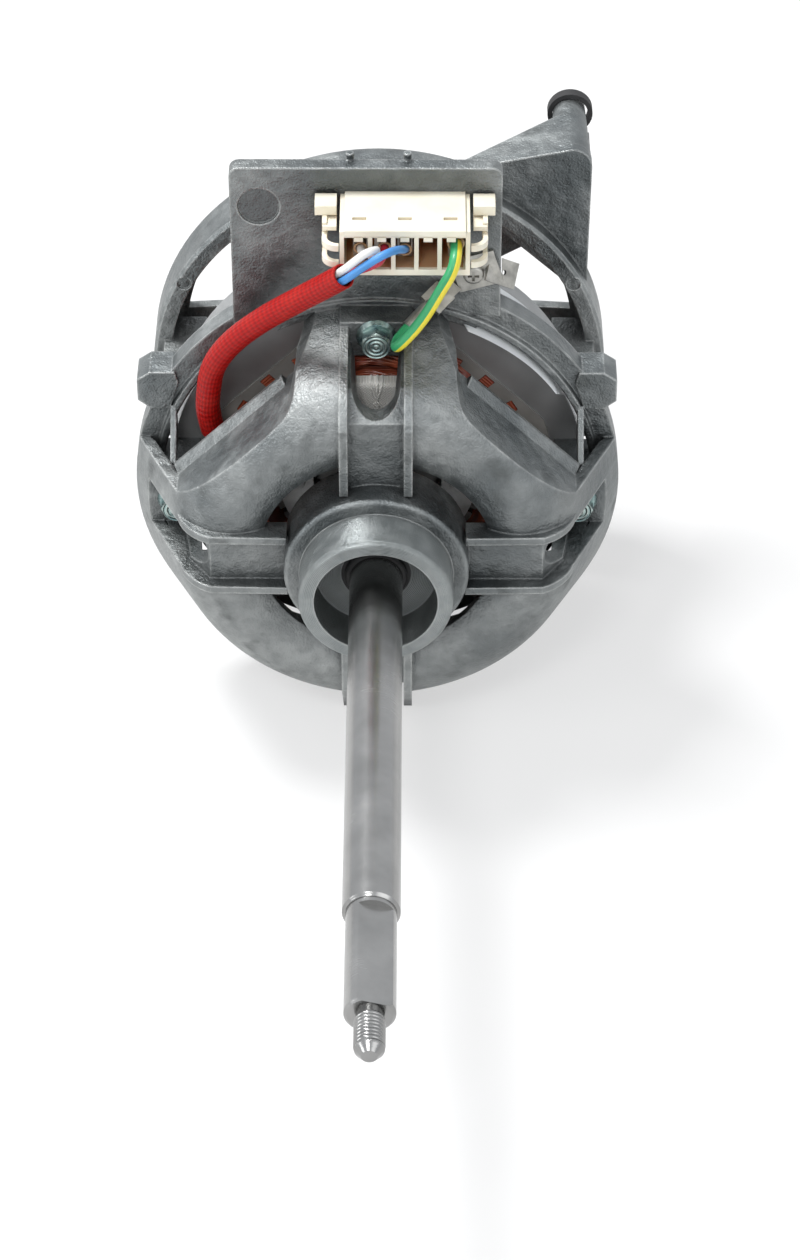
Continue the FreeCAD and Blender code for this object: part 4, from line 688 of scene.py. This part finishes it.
def solid_piece(name, parts, material):
    """One object from several closed tubes."""
    corners = []
    faces = []
    lies = []
    for part_corners, part_faces, part_lies in parts:
        start = len(corners)
        corners += part_corners
        faces += [tuple(start + i for i in face) for face in part_faces]
        lies += part_lies
    mesh = bpy.data.meshes.new(name)
    mesh.from_pydata(corners, [], faces)
    layer = mesh.uv_layers.new(name="lie")
    layer.data.foreach_set("uv", [number for face in lies for pair in face for number in pair])
    mesh.polygons.foreach_set("use_smooth", [len(face) == 4 for face in faces])
    mesh.materials.append(material)
    form = bmesh.new()
    form.from_mesh(mesh)
    bmesh.ops.recalc_face_normals(form, faces=form.faces)
    form.to_mesh(mesh)
    form.free()
    piece = bpy.data.objects.new(name, mesh)
    scene.collection.objects.link(piece)
    return piece


def settle(piece, slot, *nodes):
    """Puts a piece on the housing, in place of the nodes that it stands for; the slot is not used."""
    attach(piece, "housing")
    if nodes:
        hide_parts(*nodes)


def lead(name, route, radius, slot):
    """One insulated wire."""
    points = smooth_line(name, route, LEAD_STEPS)
    piece = solid_piece(name + "_wire", [tube(carried(points), radius, LEAD_SIDES)], finishes[slot])
    settle(piece, slot, name)


def braid_swell(walked, share):
    """How far the crossed yarns sink below the sleeve's radius."""
    one = math.sin(FULL_TURN * (share * BRAID_CARRIERS + walked / BRAID_PITCH))
    other = math.sin(FULL_TURN * (share * BRAID_CARRIERS - walked / BRAID_PITCH))
    return BRAID_DEPTH * (one * other - 1.0) / 2


def sleeve():
    """Braided sleeve, open and hollow where the leads come out, closed at its other end."""
    sides = SLEEVE_SIDES
    points = smooth_line("lead_sleeve", SLEEVE_ROUTE, SLEEVE_STEPS)
    rows = carried(points)
    outer = tube(rows, SLEEVE_R, sides, swell=braid_swell, caps=False)
    inner = tube(rows[-SLEEVE_OPEN_STEPS:], SLEEVE_R - SLEEVE_WALL, sides, caps=False)
    corners = outer[0] + inner[0]
    shift = len(outer[0])
    faces = outer[1] + [tuple(reversed([shift + i for i in face])) for face in inner[1]]
    lies = outer[2] + [tuple(reversed(lie)) for lie in inner[2]]
    mouth = shift - sides
    inner_mouth = len(corners) - sides
    end = rows[-1][3]
    for k in range(sides):
        n = (k + 1) % sides
        near, far = (end, k / sides), (end, (k + 1) / sides)
        faces.append((mouth + k, mouth + n, inner_mouth + n, inner_mouth + k))
        lies.append((near, far, far, near))
    faces += [tuple(reversed(range(sides))), tuple(shift + k for k in range(sides))]
    lies += end_lies(sides, 0.0, 0.0)
    piece = solid_piece("braided_sleeve", [(corners, faces, lies)], finishes["red_braid"])
    settle(piece, "red_braid", "lead_sleeve")


def bundle_place(quarter):
    """Flat distance from the axis and height over the stack of one straight run."""
    along = BUNDLE_PITCH * quarter / 4
    rise = 2 * BUNDLE_PITCH
    lean = BUNDLE_PITCH * math.sqrt(0.5)
    if along <= rise:
        return BUNDLE_FLAT, BUNDLE_FIRST + along
    if along <= rise + BUNDLE_PITCH:
        part = (along - rise) / BUNDLE_PITCH
        return BUNDLE_FLAT - lean * part, BUNDLE_FIRST + rise + lean * part
    return BUNDLE_FLAT - lean - (along - rise - BUNDLE_PITCH), BUNDLE_FIRST + rise + lean


def bundle_route(face_y, away):
    """Control points: two per quarter of a loop, at the ends of its straight run."""
    route = []
    for quarter in range(4 * (BUNDLE_LOOPS - 1) + 1):
        flat, height = bundle_place(quarter)
        angle = math.radians(45 + 90 * quarter)
        normal = Vector((math.sin(angle), 0, math.cos(angle)))
        run = Vector((math.cos(angle), 0, -math.sin(angle)))
        corner = (BUNDLE_FLAT - BUNDLE_CORNER_R) * math.sqrt(2) + BUNDLE_CORNER_R - (BUNDLE_FLAT - flat)
        half = corner * math.sqrt(2) - flat
        middle = normal * flat + Vector((0, face_y + away * height, 0))
        route += [middle - run * half, middle + run * half]
    return route


def wound_bundle(name, face_y, away, seed):
    """The wound bundle as slowly twisted strands of varnished wire round a core."""
    draw = random.Random(seed)
    rows = carried(smooth_line(name, bundle_route(face_y, away), BUNDLE_STEPS))
    parts = []
    for strand in range(STRANDS):
        start = FULL_TURN * strand / STRANDS + draw.uniform(-0.15, 0.15)
        ring = STRAND_RING_R * draw.uniform(0.88, 1.0)
        sway = draw.uniform(0.00006, 0.00014)
        beat = draw.uniform(0.016, 0.03)

        def offset(walked, start=start, ring=ring, sway=sway, beat=beat):
            angle = start + FULL_TURN * walked / STRAND_TURN + 0.25 * math.sin(FULL_TURN * walked / beat)
            reach = ring - sway * (1 + math.sin(FULL_TURN * walked / (beat * 1.7)))
            return reach * math.cos(angle), reach * math.sin(angle)

        parts.append(tube(rows, STRAND_R, STRAND_SIDES, offset=offset))
    parts.append(tube(rows, STRAND_RING_R * CORE_SHARE, STRAND_SIDES))
    settle(solid_piece(name + "_strands", parts, strand_finish), "varnished_winding", name)


def thread():
    """Screw thread on the shaft's stud, fading out over half a turn at both ends."""
    steps = 32
    count = int((THREAD_END_Y - THREAD_START_Y) / THREAD_PITCH * steps)
    profile = (
        (-THREAD_FOOT_SHARE, THREAD_ROOT_R),
        (-THREAD_CREST_SHARE, THREAD_CREST_R),
        (THREAD_CREST_SHARE, THREAD_CREST_R),
        (THREAD_FOOT_SHARE, THREAD_ROOT_R),
        (THREAD_FOOT_SHARE, THREAD_FOOT_R),
        (-THREAD_FOOT_SHARE, THREAD_FOOT_R),
    )
    corners = []
    for i in range(count + 1):
        y = THREAD_START_Y + THREAD_PITCH * i / steps
        fade = min(1.0, i / (steps / 2), (count - i) / (steps / 2))
        for shift, r in profile:
            reach = THREAD_ROOT_R + (r - THREAD_ROOT_R) * fade if r > THREAD_ROOT_R else r
            corners.append(round_axis(reach, y + shift * THREAD_PITCH, FULL_TURN * i / steps))
    faces = skin_faces(count + 1, len(profile)) + end_faces(count + 1, len(profile))
    piece = solid_piece("shaft_thread", [(corners, faces, no_lies(faces))], finishes["ground_steel"])
    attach(piece, "rotor")


def ring_piece(name, centre, major, minor, finish):
    """Round ring about the Y direction."""
    around, sides = 32, 10
    corners = []
    for i in range(around):
        a = FULL_TURN * i / around
        out = Vector((math.cos(a), 0, math.sin(a)))
        for k in range(sides):
            b = FULL_TURN * k / sides
            lift = Vector((0, minor * math.sin(b), 0))
            corners.append(Vector(centre) + out * (major + minor * math.cos(b)) + lift)
    faces = skin_faces(around, sides, closed=True)
    return solid_piece(name, [(corners, faces, no_lies(faces))], finish)


def wire_rings():
    """Cream collars where the wires enter the chambers."""
    wires = ((WHITE_ROUTE, WIRE_R), (RED_ROUTE, WIRE_R), (BLUE_ROUTE, WIRE_R), (EARTH_ROUTE, EARTH_R))
    for i, (route, wire) in enumerate(wires):
        x, y, z = route[0]
        ring = ring_piece("wire_collar_%d" % (i + 1), (x, y - COLLAR_FORWARD, z), wire + COLLAR_CLEARANCE,
                          COLLAR_THICK_R, finishes["cream_nylon"])
        settle(ring, "cream_nylon")


def label_strip():
    """Bare pale label round the stack, its front edge standing free in the window."""
    steps = 90
    first, last = LABEL_ENDS
    lift_first, lift_last = LABEL_LIFTED
    rise_first, rise_last = LABEL_RISES_OVER
    corners = []
    for i in range(steps + 1):
        degrees = first + (last - first) * i / steps
        angle = math.radians(degrees)
        share = min(1.0, (degrees - lift_first) / rise_first, (lift_last - degrees) / rise_last)
        share = max(0.0, share)
        edge = STACK_FRONT_Y - LABEL_REACH * share + LABEL_WAVE * math.sin(9 * angle)
        lift = LABEL_LIFT * share
        profile = (
            (LABEL_BACK_Y, 0.0),
            (LABEL_SEAT_Y, 0.0),
            (edge, lift),
            (edge, lift + LABEL_THICK),
            (LABEL_SEAT_Y, LABEL_THICK),
            (LABEL_BACK_Y, LABEL_THICK),
        )
        corners += [round_axis(LABEL_R + out, y, angle) for y, out in profile]
    faces = skin_faces(steps + 1, len(profile)) + end_faces(steps + 1, len(profile))
    piece = solid_piece("label_strip", [(corners, faces, no_lies(faces))], finishes["pale_label"])
    settle(piece, "pale_label", "stator_label")


def yarn(name, route, radius):
    return tube(carried(smooth_line(name, route, YARN_STEPS)), radius, YARN_SIDES)


def lacing():
    """Yarn that ties the cut-out's sleeve in three turns, with its knot."""
    low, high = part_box("thermal_cutout")
    front = low[1] - YARN_PROUD
    back = high[1] - 0.0004
    middle = (low[2] + high[2]) / 2
    parts = []
    for start, finish in ((-0.0016, 0.0014), (0.0018, -0.0012), (0.0003, 0.0001)):
        turn = [
            (start, back, high[2] + 0.0003),
            (start, front + 0.0012, high[2] + 0.0002),
            (start * 0.9, front, high[2] - 0.0014),
            (finish * 0.2, front - 0.0001, middle),
            (finish * 0.9, front, low[2] + 0.0014),
            (finish, front + 0.0012, low[2] - 0.0002),
            (finish, back, low[2] - 0.0003),
        ]
        parts.append(yarn("lacing", turn, YARN_R))
    knot = [
        (-0.0006, front, middle + 0.0008),
        (0.0011, front - 0.0005, middle + 0.0003),
        (0.0006, front - 0.0004, middle - 0.0010),
        (-0.0011, front - 0.0006, middle - 0.0002),
        (0.0004, front - 0.0003, middle + 0.0009),
        (0.0024, front, middle - 0.0030),
        (0.0028, front + 0.0001, middle - 0.0052),
    ]
    parts.append(yarn("knot", knot, KNOT_R))
    settle(solid_piece("cutout_lacing", parts, finishes["white_sleeve"]), "white_sleeve")


def floor():
    """Pale floor just under the lowest foot."""
    mesh = bpy.data.meshes.new("floor")
    square = [(-1, -1), (1, -1), (1, 1), (-1, 1)]
    mesh.from_pydata([(x * FLOOR_REACH, y * FLOOR_REACH, FLOOR_Z) for x, y in square], [], [(0, 1, 2, 3)])
    mesh.materials.append(floor_paint())
    piece = bpy.data.objects.new("floor", mesh)
    scene.collection.objects.link(piece)


def lamp(name, place, size, power):
    """Square lamp that faces the motor."""
    data = bpy.data.lights.new(name, "AREA")
    data.size = size
    data.energy = power
    piece = bpy.data.objects.new(name, data)
    piece.location = place
    piece.rotation_euler = (-Vector(place)).to_track_quat("-Z", "Y").to_euler()
    scene.collection.objects.link(piece)


def pale_world():
    """World that lights softly and is white where it is looked at."""
    world = bpy.data.worlds.new("pale_world")
    world.use_nodes = True
    it = Nodes(world.node_tree)
    background = it.tree.nodes["Background"]
    background.inputs["Color"].default_value = colour(0.95, 0.97, 1.0)
    strength = WORLD_LIGHT + (1 - WORLD_LIGHT) * it.looked_at()
    it.tree.links.new(strength.socket, background.inputs["Strength"])
    scene.world = world


def camera():
    """Camera at the photograph's angle and distance, with plain colours."""
    data = bpy.data.cameras.new("camera")
    data.lens = LENS_MM
    data.sensor_width = SENSOR_MM
    piece = bpy.data.objects.new("camera", data)
    level = math.cos(ELEVATION)
    back = Vector((math.sin(AZIMUTH) * level, -math.cos(AZIMUTH) * level, math.sin(ELEVATION)))
    right = Vector((math.cos(AZIMUTH), math.sin(AZIMUTH), 0))
    turn = Matrix((right, back.cross(right), back)).transposed().to_4x4()
    piece.matrix_world = Matrix.Translation(TARGET + back * DISTANCE) @ turn
    scene.collection.objects.link(piece)
    scene.camera = piece
    scene.view_settings.view_transform = "Standard"


floor()
for name, place, size, power in LAMPS:
    lamp(name, place, size, power)
pale_world()
camera()
lead("earth_lead", EARTH_ROUTE, EARTH_R, "green_yellow_insulation")
lead("blue_lead", BLUE_ROUTE, WIRE_R, "blue_insulation")
lead("white_lead", WHITE_ROUTE, WIRE_R, "white_insulation")
lead("red_lead", RED_ROUTE, WIRE_R, "red_insulation")
sleeve()
dress_frame()
wound_bundle("front_end_turns", STACK_FRONT_Y, -1, 11)
wound_bundle("rear_end_turns", STACK_BACK_Y, 1, 12)
thread()
wire_rings()
lacing()
label_strip()
